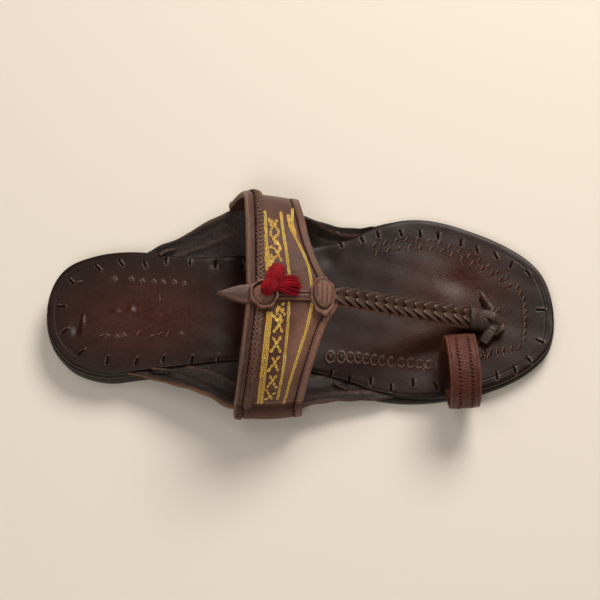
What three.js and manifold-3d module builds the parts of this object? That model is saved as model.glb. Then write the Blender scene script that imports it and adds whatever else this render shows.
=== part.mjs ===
// A kolhapuri sandal for the left foot, in millimetres.
// +X points to the toe, +Y to the little-toe (lateral) side, +Z up, and the floor is z = 0.

import * as THREE from 'three';
import { mergeVertices } from 'three/addons/utils/BufferGeometryUtils.js';
import Module from 'manifold-3d';

const wasm = await Module();
wasm.setup();

// Sole
const SOLE_LENGTH = 278;
const BALL_WIDTH = 108.5;
const OUTSOLE_THICKNESS = 4;
const INSOLE_THICKNESS = 4.5;
const INSOLE_LEDGE = 3.8;
const INSOLE_DISH = 0.9;
const LIFT_THICKNESS = 3.6;
const LIFT_TAPER = 0.985;
const HEEL_LENGTH = 79;
const ARCH_LENGTH = 80;
const TOE_SPRING_LENGTH = 71;
const TOE_SPRING = 3;
const SEAM_GAP = 0.3;

// Ears beside the waist
const EAR_THICKNESS = 2.6;
const EAR_LIFT = 9.5;
const EAR_TONGUE = 10;
const EAR_CURL = 1.2;
const EAR_OVERREACH = 1.2;
const EAR_STATIONS = 18;

// Instep band
const STRAP_WALL = 2.8;
const CROWN_Y = -11.5;
const CENTRE_LINE_Y = -9.8;
const CENTRE_LINE_SLOPE = 0.085;
const CROWN_REAR_X = -28;
const CROWN_REAR_HEIGHT = 62.5;
const CROWN_FRONT_X = 20;
const CROWN_FRONT_HEIGHT = 48.5;
const MEDIAL_ROUNDNESS = 2.3;
const LATERAL_ROUNDNESS_REAR = 3.2;
const LATERAL_ROUNDNESS_FRONT = 2.6;
const HEM_RETURN = 11;
const MEDIAL_HEM_TURN = 75;
const LATERAL_HEM_TURN = 40;
const CREASE_RISE = 3.4;
const MEDIAL_CREASE_INSET = 2;
const LATERAL_CREASE_INSET = -0.5;
const ARCH_ROWS = 24;
const PIPING_WIDTH = 5.5;
const PLAIT_WIDTH = 4;
const BORDER_WIDTH = 4.5;

// Centre strip with its leaf tip
const LEAF_TIP_X = -43.5;
const LEAF_WIDTH = 11;
const CENTRE_STRIP_THICKNESS = 1.6;

// Thong
const THONG_WIDTH = 9;
const THONG_THICKNESS = 2;
const THONG_TUCK = 9;
const THONG_SAG = 1.2;
const PLAIT_STRAND_WIDTH = 7.8;
const PLAIT_STRAND_HEIGHT = 2.6;
const CHEVRON_COUNT = 13;
const THONG_END_Y = -8;
const THONG_END_LIFT = 11.9;
const POST_BEND_LIFT = 7.4;
const POST_FROM_TOE = 35.5;
const SLEEVE_LENGTH = 10;
const SLEEVE_TO_POST = 3.5;

// Sleeve and knot at the post
const SLEEVE_WALL = 1.6;
const SLEEVE_CORNER = 0.9;
const KNOT_STRIP_THICKNESS = 1.8;
const KNOT_STRIP_WIDTH = 6;
const KNOT_STRIP_BEVEL = 0.3;
const KNOT_SPAN = 10;
const KNOT_HEIGHT = 8;

// Toe loop
const LOOP_WIDTH = 16;
const LOOP_WALL = 2.5;
const LOOP_TURN = 4;
const LOOP_FROM_TOE = 53.7;
const LOOP_Y = -41;
const LOOP_HALF_WIDTH = 18.5;
const LOOP_HEIGHT = 29;
const SLOT_LENGTH = 21;
const SLOT_WIDTH = 4.6;
const SLOT_ROOM = 2;
const CUTTER_HEIGHT = 30;
const CUTTER_OVERRUN = 0.02;

// Buttons and pompom
const FRONT_BUTTON = { x: 10.2, y: -10.4, halfLength: 6.6, halfWidth: 9.6, height: 4.6 };
const FRONT_BUTTON_RIBS = 14;
const FRONT_BUTTON_RUFFLES = 9;
const REAR_BUTTON = { x: -20.5, y: -14, halfLength: 7.4, halfWidth: 7.6, height: 3.4 };
const POMPOM = { x: -20, y: -11, head: 4.4, lockLength: 17, lockRadius: 2.5 };
const POMPOM_FLATNESS = 0.72;
const LOCK_SAG = 1.8;
const LOCK_DROOP = 7;

// Outline of the sole: lengths along the sole and widths from its centre line, as shares of the
// sole length and the ball width, and how much of the ledge shows outside the insole.
const OUTLINE = [
  { along: 0, lateral: -0.029, medial: -0.029, ledge: 0.15 },
  { along: 0.009, lateral: 0.11, medial: -0.171, ledge: 0.15 },
  { along: 0.029, lateral: 0.196, medial: -0.257, ledge: 0.15 },
  { along: 0.06, lateral: 0.25, medial: -0.327, ledge: 0.15 },
  { along: 0.122, lateral: 0.294, medial: -0.373, ledge: 0.15 },
  { along: 0.183, lateral: 0.299, medial: -0.358, ledge: 0.15 },
  { along: 0.284, lateral: 0.269, medial: -0.327, ledge: 0.15 },
  { along: 0.378, lateral: 0.286, medial: -0.299, ledge: 0.15 },
  { along: 0.464, lateral: 0.323, medial: -0.309, ledge: 0.15 },
  { along: 0.536, lateral: 0.369, medial: -0.35, ledge: 0.2 },
  { along: 0.597, lateral: 0.424, medial: -0.41, ledge: 0.7 },
  { along: 0.644, lateral: 0.486, medial: -0.46, ledge: 0.8 },
  { along: 0.709, lateral: 0.521, medial: -0.479, ledge: 0.4 },
  { along: 0.773, lateral: 0.505, medial: -0.468, ledge: 0.15 },
  { along: 0.8525, lateral: 0.435, medial: -0.429, ledge: 0.15 },
  { along: 0.914, lateral: 0.356, medial: -0.369, ledge: 0.15 },
  { along: 0.962, lateral: 0.259, medial: -0.286, ledge: 0.15 },
  { along: 0.989, lateral: 0.145, medial: -0.196, ledge: 0.15 },
  { along: 1, lateral: -0.041, medial: -0.041, ledge: 0.15 },
];

// Ears: where the rim lies, as shares of the sole length and ball width, and its share of the lift.
const EARS = {
  medial: [
    { along: 0.158, reach: -0.351, lift: 0 },
    { along: 0.223, reach: -0.403, lift: 0.3 },
    { along: 0.263, reach: -0.439, lift: 0.55 },
    { along: 0.32, reach: -0.498, lift: 0.85 },
    { along: 0.363, reach: -0.561, lift: 1 },
    { along: 0.428, reach: -0.571, lift: 1 },
    { along: 0.5, reach: -0.54, lift: 0.95 },
    { along: 0.536, reach: -0.513, lift: 0.8 },
    { along: 0.576, reach: -0.492, lift: 0.6 },
    { along: 0.615, reach: -0.483, lift: 0.35 },
    { along: 0.65, reach: -0.473, lift: 0.12 },
    { along: 0.68, reach: -0.457, lift: 0 },
  ],
  lateral: [
    { along: 0.194, reach: 0.296, lift: 0 },
    { along: 0.223, reach: 0.33, lift: 0.3 },
    { along: 0.263, reach: 0.364, lift: 0.5 },
    { along: 0.302, reach: 0.419, lift: 0.8 },
    { along: 0.342, reach: 0.475, lift: 0.95 },
    { along: 0.363, reach: 0.498, lift: 1 },
    { along: 0.428, reach: 0.506, lift: 1 },
    { along: 0.5, reach: 0.498, lift: 0.95 },
    { along: 0.536, reach: 0.472, lift: 0.8 },
    { along: 0.576, reach: 0.454, lift: 0.55 },
    { along: 0.615, reach: 0.456, lift: 0.3 },
    { along: 0.65, reach: 0.471, lift: 0.12 },
    { along: 0.675, reach: 0.465, lift: 0 },
  ],
};

// Edges of the band: how far round the arch, from the medial crease to the lateral one, and where
// the rear and front edges lie, as shares of half the sole length.
const BAND_EDGES = [
  { along: 0, rear: -0.255, front: 0.002 },
  { along: 0.12, rear: -0.24, front: 0.022 },
  { along: 0.25, rear: -0.222, front: 0.062 },
  { along: 0.34, rear: -0.21, front: 0.098 },
  { along: 0.42, rear: -0.202, front: 0.142 },
  { along: 0.5, rear: -0.204, front: 0.096 },
  { along: 0.62, rear: -0.207, front: 0.042 },
  { along: 0.75, rear: -0.213, front: 0.01 },
  { along: 0.86, rear: -0.225, front: -0.01 },
  { along: 1, rear: -0.285, front: 0 },
];

// Relief across the band, measured in from an edge: where each fold line lies and its height.
const REAR_RELIEF = [
  { inset: 0, height: 0.2 },
  { inset: 0.08 * PIPING_WIDTH, height: 1 },
  { inset: 0.5 * PIPING_WIDTH, height: 1.5 },
  { inset: 0.92 * PIPING_WIDTH, height: 0.9 },
  { inset: PIPING_WIDTH, height: -0.2 },
  { inset: PIPING_WIDTH + 0.15 * PLAIT_WIDTH, height: 0.9 },
  { inset: PIPING_WIDTH + 0.5 * PLAIT_WIDTH, height: 1.3 },
  { inset: PIPING_WIDTH + 0.9 * PLAIT_WIDTH, height: 0.8 },
  { inset: PIPING_WIDTH + PLAIT_WIDTH, height: 0 },
];
const FRONT_RELIEF = [
  { inset: 1.12 * BORDER_WIDTH, height: 0 },
  { inset: 1.02 * BORDER_WIDTH, height: -0.3 },
  { inset: 0.92 * BORDER_WIDTH, height: 0.7 },
  { inset: 0.5 * BORDER_WIDTH, height: 0.9 },
  { inset: 0.1 * BORDER_WIDTH, height: 0.7 },
  { inset: 0, height: 0.1 },
];

// Width of the centre strip from the leaf tip to the front edge of the band, as a share of the leaf.
const LEAF_WIDTHS = [
  { along: 0, width: 0.06 },
  { along: 0.08, width: 0.38 },
  { along: 0.16, width: 0.72 },
  { along: 0.26, width: 0.96 },
  { along: 0.36, width: 1 },
  { along: 0.46, width: 0.62 },
  { along: 0.56, width: 0.5 },
  { along: 0.8, width: 0.5 },
  { along: 1, width: 0.7 },
];

// Side view of the toe loop, from the medial stem round to the lateral one, as shares of its half
// width and height above the insole.
const LOOP_SHAPE = [
  { across: -0.28, height: -0.16 },
  { across: -0.3, height: 0.03 },
  { across: -0.62, height: 0.09 },
  { across: -0.93, height: 0.27 },
  { across: -1, height: 0.5 },
  { across: -0.8, height: 0.83 },
  { across: -0.35, height: 1 },
  { across: 0.3, height: 0.99 },
  { across: 0.82, height: 0.83 },
  { across: 1, height: 0.55 },
  { across: 0.99, height: 0.2 },
  { across: 0.96, height: 0.03 },
  { across: 0.95, height: -0.16 },
];

// Knot strips at the post: places from the post as shares of the knot's span and of its height
// above the insole, and widths as shares of the widest strip.
const KNOT_STRIPS = [
  {
    width: 0.53,
    from: { x: -0.42, y: 1.65, height: 0.125 },
    over: { x: -0.05, y: 1, height: 0.4 },
    to: { x: 0.2, y: 0.4, height: 0.625 },
  },
  {
    width: 0.77,
    from: { x: -0.5, y: 0.1, height: 0.94 },
    over: { x: 0.15, y: -0.14, height: 1 },
    to: { x: 0.9, y: -0.36, height: 0.275 },
  },
  {
    width: 0.5,
    from: { x: 0.05, y: 0.04, height: 0.675 },
    over: { x: 0.35, y: 0.4, height: 0.575 },
    to: { x: 0.62, y: 0.76, height: 0.2 },
  },
  {
    width: 0.5,
    from: { x: 0.62, y: -0.1, height: 0.425 },
    over: { x: 0.56, y: -0.52, height: 0.575 },
    to: { x: 0.24, y: -0.9, height: 0.2 },
  },
  {
    width: 1,
    from: { x: 0.34, y: -0.06, height: 0.575 },
    over: { x: -0.1, y: -0.8, height: 0.575 },
    to: { x: -0.56, y: -1.5, height: 0.175 },
  },
];

// Locks of the pompom: the way each tuft points, how far its locks fan out and how long they are.
const TUFTS = [
  { turn: -2, tilt: 12, spread: 16, reach: 1 },
  { turn: 30, tilt: 30, spread: 18, reach: 0.86 },
  { turn: 62, tilt: 20, spread: 16, reach: 0.92 },
];
const LOCK_SECTIONS = [
  { along: 0, girth: 0.7 },
  { along: 0.35, girth: 1 },
  { along: 0.75, girth: 0.95 },
  { along: 1, girth: 0.45 },
];
const LOCK_SIDES = 7;

const LEATHER_SOLE = { color: 0x3a2620, roughness: 0.5, metalness: 0 };
const LEATHER_FOOTBED = { color: 0x4a2822, roughness: 0.38, metalness: 0 };
const LEATHER_STRAP = { color: 0x5a342a, roughness: 0.45, metalness: 0 };
const LEATHER_EAR = { color: 0x6e4632, roughness: 0.6, metalness: 0 };
const CRIMSON_THREAD = { color: 0xa80a26, roughness: 0.85, metalness: 0 };

const HEEL_RISE = 2 * (LIFT_THICKNESS + SEAM_GAP);
const HALF_LENGTH = SOLE_LENGTH / 2;
const HEEL_BREAST_X = HEEL_LENGTH - HALF_LENGTH;
const ARCH_END_X = HEEL_BREAST_X + ARCH_LENGTH;
const LOOP_X = HALF_LENGTH - LOOP_FROM_TOE;
const POST_X = HALF_LENGTH - POST_FROM_TOE;
const SLEEVE_END_X = POST_X - SLEEVE_TO_POST;
const SLEEVE_START_X = SLEEVE_END_X - SLEEVE_LENGTH;
const MEDIAL = -1;
const LATERAL = 1;

const lerp = THREE.MathUtils.lerp;
const clamp = THREE.MathUtils.clamp;

// Smooth reading of one column of a table at a place along it.
function columnOf(rows, name, placeOf = (along) => along) {
  const places = rows.map((row) => placeOf(row.along));
  const values = rows.map((row) => row[name]);
  const last = rows.length - 1;
  const slopeAt = (i) => {
    const before = Math.max(i - 1, 0);
    const after = Math.min(i + 1, last);
    return (values[after] - values[before]) / (places[after] - places[before]);
  };
  return (along) => {
    const place = clamp(placeOf(along), places[0], places[last]);
    let i = 0;
    while (i < last - 1 && places[i + 1] < place) i += 1;
    const span = places[i + 1] - places[i];
    const t = (place - places[i]) / span;
    const rise = values[i + 1] - values[i];
    const bendStart = slopeAt(i) * span - rise;
    const bendEnd = rise - slopeAt(i + 1) * span;
    return values[i] + t * rise + t * (1 - t) * ((1 - t) * bendStart + t * bendEnd);
  };
}

// Closed body between two grids of points with the same rows and columns.
function plate(upper, lower) {
  const rows = upper.length;
  const columns = upper[0].length;
  const points = [...upper.flat(), ...lower.flat()];
  const at = (layer, i, j) => (layer * rows + i) * columns + j;
  const faces = [];
  const quad = (a, b, c, d) => faces.push([a, b, c], [a, c, d]);
  for (let i = 0; i < rows - 1; i += 1) {
    for (let j = 0; j < columns - 1; j += 1) {
      quad(at(0, i, j), at(0, i + 1, j), at(0, i + 1, j + 1), at(0, i, j + 1));
      quad(at(1, i, j), at(1, i, j + 1), at(1, i + 1, j + 1), at(1, i + 1, j));
    }
    quad(at(0, i, 0), at(1, i, 0), at(1, i + 1, 0), at(0, i + 1, 0));
    const edge = columns - 1;
    quad(at(0, i, edge), at(0, i + 1, edge), at(1, i + 1, edge), at(1, i, edge));
  }
  for (let j = 0; j < columns - 1; j += 1) {
    quad(at(0, 0, j), at(0, 0, j + 1), at(1, 0, j + 1), at(1, 0, j));
    const end = rows - 1;
    quad(at(0, end, j), at(1, end, j), at(1, end, j + 1), at(0, end, j + 1));
  }
  return closedGeometry(points, faces);
}

// Closed body through rings of points, with flat or pointed ends.
function loft(rings) {
  const count = rings[0].length;
  const points = rings.flat();
  const faces = [];
  for (let i = 0; i < rings.length - 1; i += 1) {
    for (let j = 0; j < count; j += 1) {
      const next = (j + 1) % count;
      const a = i * count + j;
      const b = i * count + next;
      faces.push([a, b, b + count], [a, b + count, a + count]);
    }
  }
  const endCap = (ring, flip) => {
    const middle = new THREE.Vector3();
    ring.forEach((point) => middle.add(point));
    middle.divideScalar(count);
    const centre = points.push(middle) - 1;
    const start = flip ? (rings.length - 1) * count : 0;
    for (let j = 0; j < count; j += 1) {
      const a = start + j;
      const b = start + ((j + 1) % count);
      faces.push(flip ? [centre, a, b] : [centre, b, a]);
    }
  };
  endCap(rings[0], false);
  endCap(rings[rings.length - 1], true);
  return closedGeometry(points, faces);
}

// Merged geometry with its faces turned outwards and its empty faces dropped.
function closedGeometry(points, faces) {
  const geometry = new THREE.BufferGeometry();
  const places = points.flatMap((point) => point.toArray());
  geometry.setAttribute('position', new THREE.Float32BufferAttribute(places, 3));
  geometry.setIndex(faces.flat());
  const merged = mergeVertices(geometry, 1e-4);
  const index = merged.getIndex();
  const kept = [];
  const corner = [new THREE.Vector3(), new THREE.Vector3(), new THREE.Vector3()];
  let volume = 0;
  for (let i = 0; i < index.count; i += 3) {
    const face = [index.getX(i), index.getX(i + 1), index.getX(i + 2)];
    if (new Set(face).size < 3) continue;
    const position = merged.getAttribute('position');
    face.forEach((vertex, k) => corner[k].fromBufferAttribute(position, vertex));
    volume += corner[0].dot(corner[1].clone().cross(corner[2]));
    kept.push(face);
  }
  merged.setIndex(kept.flatMap((face) => (volume > 0 ? face : [face[0], face[2], face[1]])));
  return merged;
}

function toManifold(geometry) {
  const vertProperties = new Float32Array(geometry.getAttribute('position').array);
  const triVerts = new Uint32Array(geometry.getIndex().array);
  return new wasm.Manifold(new wasm.Mesh({ numProp: 3, vertProperties, triVerts }));
}

function toGeometry(manifold) {
  const mesh = manifold.getMesh();
  const geometry = new THREE.BufferGeometry();
  const places = new Float32Array(mesh.vertProperties);
  const corners = new Uint32Array(mesh.triVerts);
  geometry.setAttribute('position', new THREE.BufferAttribute(places, 3));
  geometry.setIndex(new THREE.BufferAttribute(corners, 1));
  return geometry;
}

function joined(geometries) {
  return geometries.map(toManifold).reduce((whole, piece) => whole.add(piece));
}

function vector(x, y, z) {
  return new THREE.Vector3(x, y, z);
}

// Sole: outline and bend

const outlineAngle = (along) => Math.acos(1 - 2 * along);
const lateralShare = columnOf(OUTLINE, 'lateral', outlineAngle);
const medialShare = columnOf(OUTLINE, 'medial', outlineAngle);
const ledgeShare = columnOf(OUTLINE, 'ledge', outlineAngle);

function alongOf(x) {
  return clamp((x + HALF_LENGTH) / SOLE_LENGTH, 0, 1);
}

function soleEdge(x, side) {
  return BALL_WIDTH * (side === LATERAL ? lateralShare(alongOf(x)) : medialShare(alongOf(x)));
}

function insoleEdge(x, side) {
  const tipInset = INSOLE_LEDGE * ledgeShare(alongOf(x));
  const reach = HALF_LENGTH / (HALF_LENGTH - tipInset);
  return soleEdge(x * reach, side) - side * tipInset;
}

// Height of the underside of the outsole.
function soleRise(x) {
  const arch = 1 - THREE.MathUtils.smootherstep(x, HEEL_BREAST_X, ARCH_END_X);
  const spring = Math.max(0, 1 - (HALF_LENGTH - x) / TOE_SPRING_LENGTH);
  return HEEL_RISE * arch + TOE_SPRING * spring * spring;
}

const outsoleTop = (x) => soleRise(x) + OUTSOLE_THICKNESS;
const insoleBottom = (x) => outsoleTop(x) + SEAM_GAP;

function insoleTop(x, y) {
  const lateral = insoleEdge(x, LATERAL);
  const medial = insoleEdge(x, MEDIAL);
  const middle = (lateral + medial) / 2;
  const half = Math.max((lateral - medial) / 2, 1);
  const dish = INSOLE_DISH * (1 - Math.min(1, ((y - middle) / half) ** 2));
  return insoleBottom(x) + INSOLE_THICKNESS - dish;
}

// A layer of the sole from one x to another: edge tells where its sides lie.
function soleLayer({ start, end, rows, edge, top, bottom, lowerScale = 1, across }) {
  const upper = [];
  const lower = [];
  const centreX = (start + end) / 2;
  for (let i = 0; i <= rows; i += 1) {
    const x = lerp(start, end, (1 - Math.cos((Math.PI * i) / rows)) / 2);
    const lateral = edge(x, LATERAL);
    const medial = edge(x, MEDIAL);
    const middle = (lateral + medial) / 2;
    upper.push(across.map((share) => {
      const y = lerp(medial, lateral, share);
      return vector(x, y, top(x, y));
    }));
    lower.push(across.map((share) => {
      const y = middle + lowerScale * (lerp(medial, lateral, share) - middle);
      const lowerX = centreX + lowerScale * (x - centreX);
      return vector(lowerX, y, bottom(lowerX, y));
    }));
  }
  return plate(upper, lower);
}

function makeOutsole() {
  return soleLayer({
    start: -HALF_LENGTH,
    end: HALF_LENGTH,
    rows: 40,
    edge: soleEdge,
    top: outsoleTop,
    bottom: soleRise,
    across: [0, 0.5, 1],
  });
}

// One lift of the heel, cut straight across at the breast: level 0 is the lower one.
function makeLift(level) {
  const centreX = (HEEL_BREAST_X - HALF_LENGTH) / 2;
  const scale = LIFT_TAPER ** (1 - level);
  const lowest = level * (LIFT_THICKNESS + SEAM_GAP);
  return soleLayer({
    start: centreX + scale * (-HALF_LENGTH - centreX),
    end: centreX + scale * (HEEL_BREAST_X - centreX),
    rows: 22,
    edge: (x, side) => {
      const full = centreX + (x - centreX) / scale;
      const middle = (soleEdge(full, LATERAL) + soleEdge(full, MEDIAL)) / 2;
      return middle + scale * (soleEdge(full, side) - middle);
    },
    top: () => lowest + LIFT_THICKNESS,
    bottom: () => lowest,
    lowerScale: LIFT_TAPER,
    across: [0, 0.5, 1],
  });
}

// Ears

const earOf = (rows) => ({ rows, reach: columnOf(rows, 'reach'), lift: columnOf(rows, 'lift') });
const earColumns = { [MEDIAL]: earOf(EARS.medial), [LATERAL]: earOf(EARS.lateral) };

const earReach = (side, x) => BALL_WIDTH * earColumns[side].reach(alongOf(x));

// Height of the underside of an ear.
function earUnderside(side, x, y) {
  const edge = side * insoleEdge(x, side);
  const reach = side * earReach(side, x);
  const outside = clamp((side * y - edge) / Math.max(reach - edge, 1), 0, EAR_OVERREACH);
  const rise = EAR_LIFT * earColumns[side].lift(alongOf(x)) * outside ** EAR_CURL;
  return insoleBottom(x) + rise;
}

function earRim(side, x) {
  const y = earReach(side, x);
  return { y, z: earUnderside(side, x, y) + EAR_THICKNESS / 2 };
}

// An ear, or with a clearance the recess that it needs in the insole.
function makeEar(side, clearance = 0) {
  const rows = earColumns[side].rows;
  const start = lerp(-HALF_LENGTH, HALF_LENGTH, rows[0].along);
  const end = lerp(-HALF_LENGTH, HALF_LENGTH, rows[rows.length - 1].along);
  const upper = [];
  const lower = [];
  for (let i = 0; i <= EAR_STATIONS; i += 1) {
    const x = lerp(start, end, i / EAR_STATIONS);
    const edge = insoleEdge(x, side);
    const rim = earReach(side, x);
    const bend = side * Math.min(side * edge, side * rim - 1);
    const tongue = edge - side * EAR_TONGUE;
    const places = [0, 0.5, 1].map((share) => lerp(tongue, bend, share));
    places.push(...[0.25, 0.5, 0.75, 1].map((share) => lerp(bend, rim, share)));
    const heights = places.map((y) => earUnderside(side, x, y));
    if (clearance > 0) {
      places.unshift(tongue - side * clearance);
      places.push(rim + side * EAR_TONGUE);
      heights.unshift(heights[0]);
      heights.push(heights[heights.length - 1]);
    }
    const overrun = { 0: -clearance, [EAR_STATIONS]: clearance }[i] ?? 0;
    const layer = (lift) => places.map((y, j) => vector(x + overrun, y, heights[j] + lift));
    upper.push(layer(EAR_THICKNESS + clearance));
    lower.push(layer(-3 * clearance));
  }
  return plate(upper, lower);
}

// Insole with its slots and the recesses for the ears

function rotatedBox(length, width, place, turn) {
  const box = new THREE.BoxGeometry(length, width, CUTTER_HEIGHT);
  box.rotateZ(THREE.MathUtils.degToRad(turn));
  box.translate(place.x, place.y, place.z);
  box.deleteAttribute('normal');
  box.deleteAttribute('uv');
  return mergeVertices(box);
}

function loopSlot(across) {
  const foot = loopPoint(across, 0);
  return rotatedBox(SLOT_LENGTH, SLOT_WIDTH, foot, LOOP_TURN);
}

function makeInsole() {
  const slab = soleLayer({
    start: -HALF_LENGTH + INSOLE_LEDGE * ledgeShare(0),
    end: HALF_LENGTH - INSOLE_LEDGE * ledgeShare(1),
    rows: 40,
    edge: insoleEdge,
    top: insoleTop,
    bottom: insoleBottom,
    across: [0, 0.12, 0.5, 0.88, 1],
  });
  const post = vector(POST_X, THONG_END_Y, insoleBottom(POST_X));
  const postSlot = rotatedBox(SLOT_WIDTH, THONG_WIDTH + SLOT_ROOM, post, 0);
  return [
    makeEar(MEDIAL, SEAM_GAP),
    makeEar(LATERAL, SEAM_GAP),
    loopSlot(LOOP_SHAPE[0].across),
    loopSlot(LOOP_SHAPE[LOOP_SHAPE.length - 1].across),
    postSlot,
  ].reduce((insole, cutter) => insole.subtract(toManifold(cutter)), toManifold(slab));
}

// Instep band

const bandRear = columnOf(BAND_EDGES, 'rear');
const bandFront = columnOf(BAND_EDGES, 'front');

// The arch at one place along the foot: crown, creases at both ears and how square its sides are.
function archAt(x) {
  const share = (x - CROWN_REAR_X) / (CROWN_FRONT_X - CROWN_REAR_X);
  const near = earRim(MEDIAL, x);
  const far = earRim(LATERAL, x);
  return {
    crown: lerp(CROWN_REAR_HEIGHT, CROWN_FRONT_HEIGHT, share),
    near: { y: near.y + MEDIAL_CREASE_INSET, z: near.z + CREASE_RISE, power: MEDIAL_ROUNDNESS },
    far: {
      y: far.y - LATERAL_CREASE_INSET,
      z: far.z + CREASE_RISE,
      power: lerp(LATERAL_ROUNDNESS_REAR, LATERAL_ROUNDNESS_FRONT, clamp(share, 0, 1)),
    },
  };
}

// Mid-surface of the arch over a point of the footbed.
function archHeight(x, y) {
  const arch = archAt(x);
  const end = y < CROWN_Y ? arch.near : arch.far;
  const reach = Math.min(1, Math.abs((y - CROWN_Y) / (end.y - CROWN_Y)));
  return end.z + (arch.crown - end.z) * (1 - reach ** end.power) ** (1 / end.power);
}

// Sideways place of the centre strip and the thong's start.
function centreLine(x) {
  return CENTRE_LINE_Y + CENTRE_LINE_SLOPE * (x - CROWN_FRONT_X);
}

// Point above the band's outer face, with its normal, over a point of the footbed.
function onArch(x, y, height) {
  const step = 0.5;
  const slopeX = (archHeight(x + step, y) - archHeight(x - step, y)) / (2 * step);
  const slopeY = (archHeight(x, y + step) - archHeight(x, y - step)) / (2 * step);
  const normal = vector(-slopeX, -slopeY, 1).normalize();
  return vector(x, y, archHeight(x, y)).addScaledVector(normal, STRAP_WALL / 2 + height);
}

// Evenly spaced points of the arch across the foot, from the medial crease to the lateral one.
function archPath(x, places) {
  const arch = archAt(x);
  const points = [];
  const half = (end, angle) => {
    const reach = Math.cos(angle) ** (2 / end.power);
    const rise = Math.sin(angle) ** (2 / end.power);
    return new THREE.Vector2(lerp(CROWN_Y, end.y, reach), lerp(end.z, arch.crown, rise));
  };
  const steps = 60;
  const angleOf = (i) => (Math.PI / 2) * (i / steps);
  for (let i = 0; i <= steps; i += 1) points.push(half(arch.near, angleOf(i)));
  for (let i = steps - 1; i >= 0; i -= 1) points.push(half(arch.far, angleOf(i)));
  const lengths = [0];
  for (let i = 1; i < points.length; i += 1) {
    lengths.push(lengths[i - 1] + points[i].distanceTo(points[i - 1]));
  }
  const total = lengths[lengths.length - 1];
  return places.map((place) => {
    let i = 1;
    while (i < lengths.length - 1 && lengths[i] < place * total) i += 1;
    const t = (place * total - lengths[i - 1]) / (lengths[i] - lengths[i - 1]);
    return points[i - 1].clone().lerp(points[i], t);
  });
}

// Hem round one ear: its return under the ear, then round the rim to the crease.
function hemPath(side, x) {
  const rim = earRim(side, x);
  const radius = EAR_THICKNESS / 2 + SEAM_GAP + STRAP_WALL / 2;
  const points = [1, 0.66, 0.33].map((share) => {
    const y = rim.y - side * HEM_RETURN * share;
    return new THREE.Vector2(y, earUnderside(side, x, y) - SEAM_GAP - STRAP_WALL / 2);
  });
  const turnEnd = side === MEDIAL ? MEDIAL_HEM_TURN : LATERAL_HEM_TURN;
  for (const angle of [-90, -60, -30, 0, 0.5 * turnEnd, turnEnd]) {
    const turn = THREE.MathUtils.degToRad(angle);
    const y = rim.y + side * radius * Math.cos(turn);
    points.push(new THREE.Vector2(y, rim.z + radius * Math.sin(turn)));
  }
  return points;
}

// Mid-surface of the band: each row goes round the foot, each column along it.
function bandGrid() {
  const places = Array.from({ length: ARCH_ROWS + 1 }, (_, i) => i / ARCH_ROWS);
  const hemRows = hemPath(MEDIAL, 0).length;
  const rowPlaces = [...Array(hemRows).fill(0), ...places, ...Array(hemRows).fill(1)];
  return rowPlaces.map((place, row) => {
    const rear = HALF_LENGTH * bandRear(place);
    const front = HALF_LENGTH * bandFront(place);
    const columns = [
      ...REAR_RELIEF.map(({ inset, height }) => ({ x: rear + inset, height })),
      { x: (rear + PIPING_WIDTH + PLAIT_WIDTH + front - BORDER_WIDTH) / 2, height: 0 },
      ...FRONT_RELIEF.map(({ inset, height }) => ({ x: front - inset, height })),
    ];
    return columns.map(({ x, height }) => {
      const path = [
        ...hemPath(MEDIAL, x),
        ...archPath(x, [place]),
        ...hemPath(LATERAL, x).reverse(),
      ];
      const inArch = row >= hemRows && row < hemRows + places.length;
      const index = inArch ? hemRows : (row < hemRows ? row : row - places.length + 1);
      return { point: vector(x, path[index].x, path[index].y), height };
    });
  });
}

function makeBand() {
  const grid = bandGrid();
  const normalAt = (i, j) => {
    const row = (k) => grid[clamp(k, 0, grid.length - 1)];
    const cell = (k, l) => row(k)[clamp(l, 0, grid[0].length - 1)].point;
    const round = cell(i + 1, j).clone().sub(cell(i - 1, j));
    const along = cell(i, j + 1).clone().sub(cell(i, j - 1));
    return along.cross(round).normalize();
  };
  const layer = (offset, relief) => grid.map((row, i) => row.map(({ point, height }, j) =>
    point.clone().addScaledVector(normalAt(i, j), offset + relief * height)));
  return plate(layer(STRAP_WALL / 2, 1), layer(-STRAP_WALL / 2, 0));
}

// Raised strip down the middle of the band, with the leaf tip over its rear edge.
function makeCentreStrip() {
  const width = columnOf(LEAF_WIDTHS, 'width');
  const front = CROWN_FRONT_X - BORDER_WIDTH;
  const rows = 14;
  const edges = [-0.5, -0.38, 0, 0.38, 0.5];
  const layer = (heights) => Array.from({ length: rows + 1 }, (_, i) => {
    const along = i / rows;
    const x = lerp(LEAF_TIP_X, front, along);
    return edges.map((share, j) =>
      onArch(x, centreLine(x) + share * LEAF_WIDTH * width(along), heights[j]));
  });
  const crest = CENTRE_STRIP_THICKNESS;
  return plate(layer([0.6 * crest, crest, crest, crest, 0.6 * crest]), layer([-1, -1, -1, -1, -1]));
}

// Thong from under the front button to the post

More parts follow.
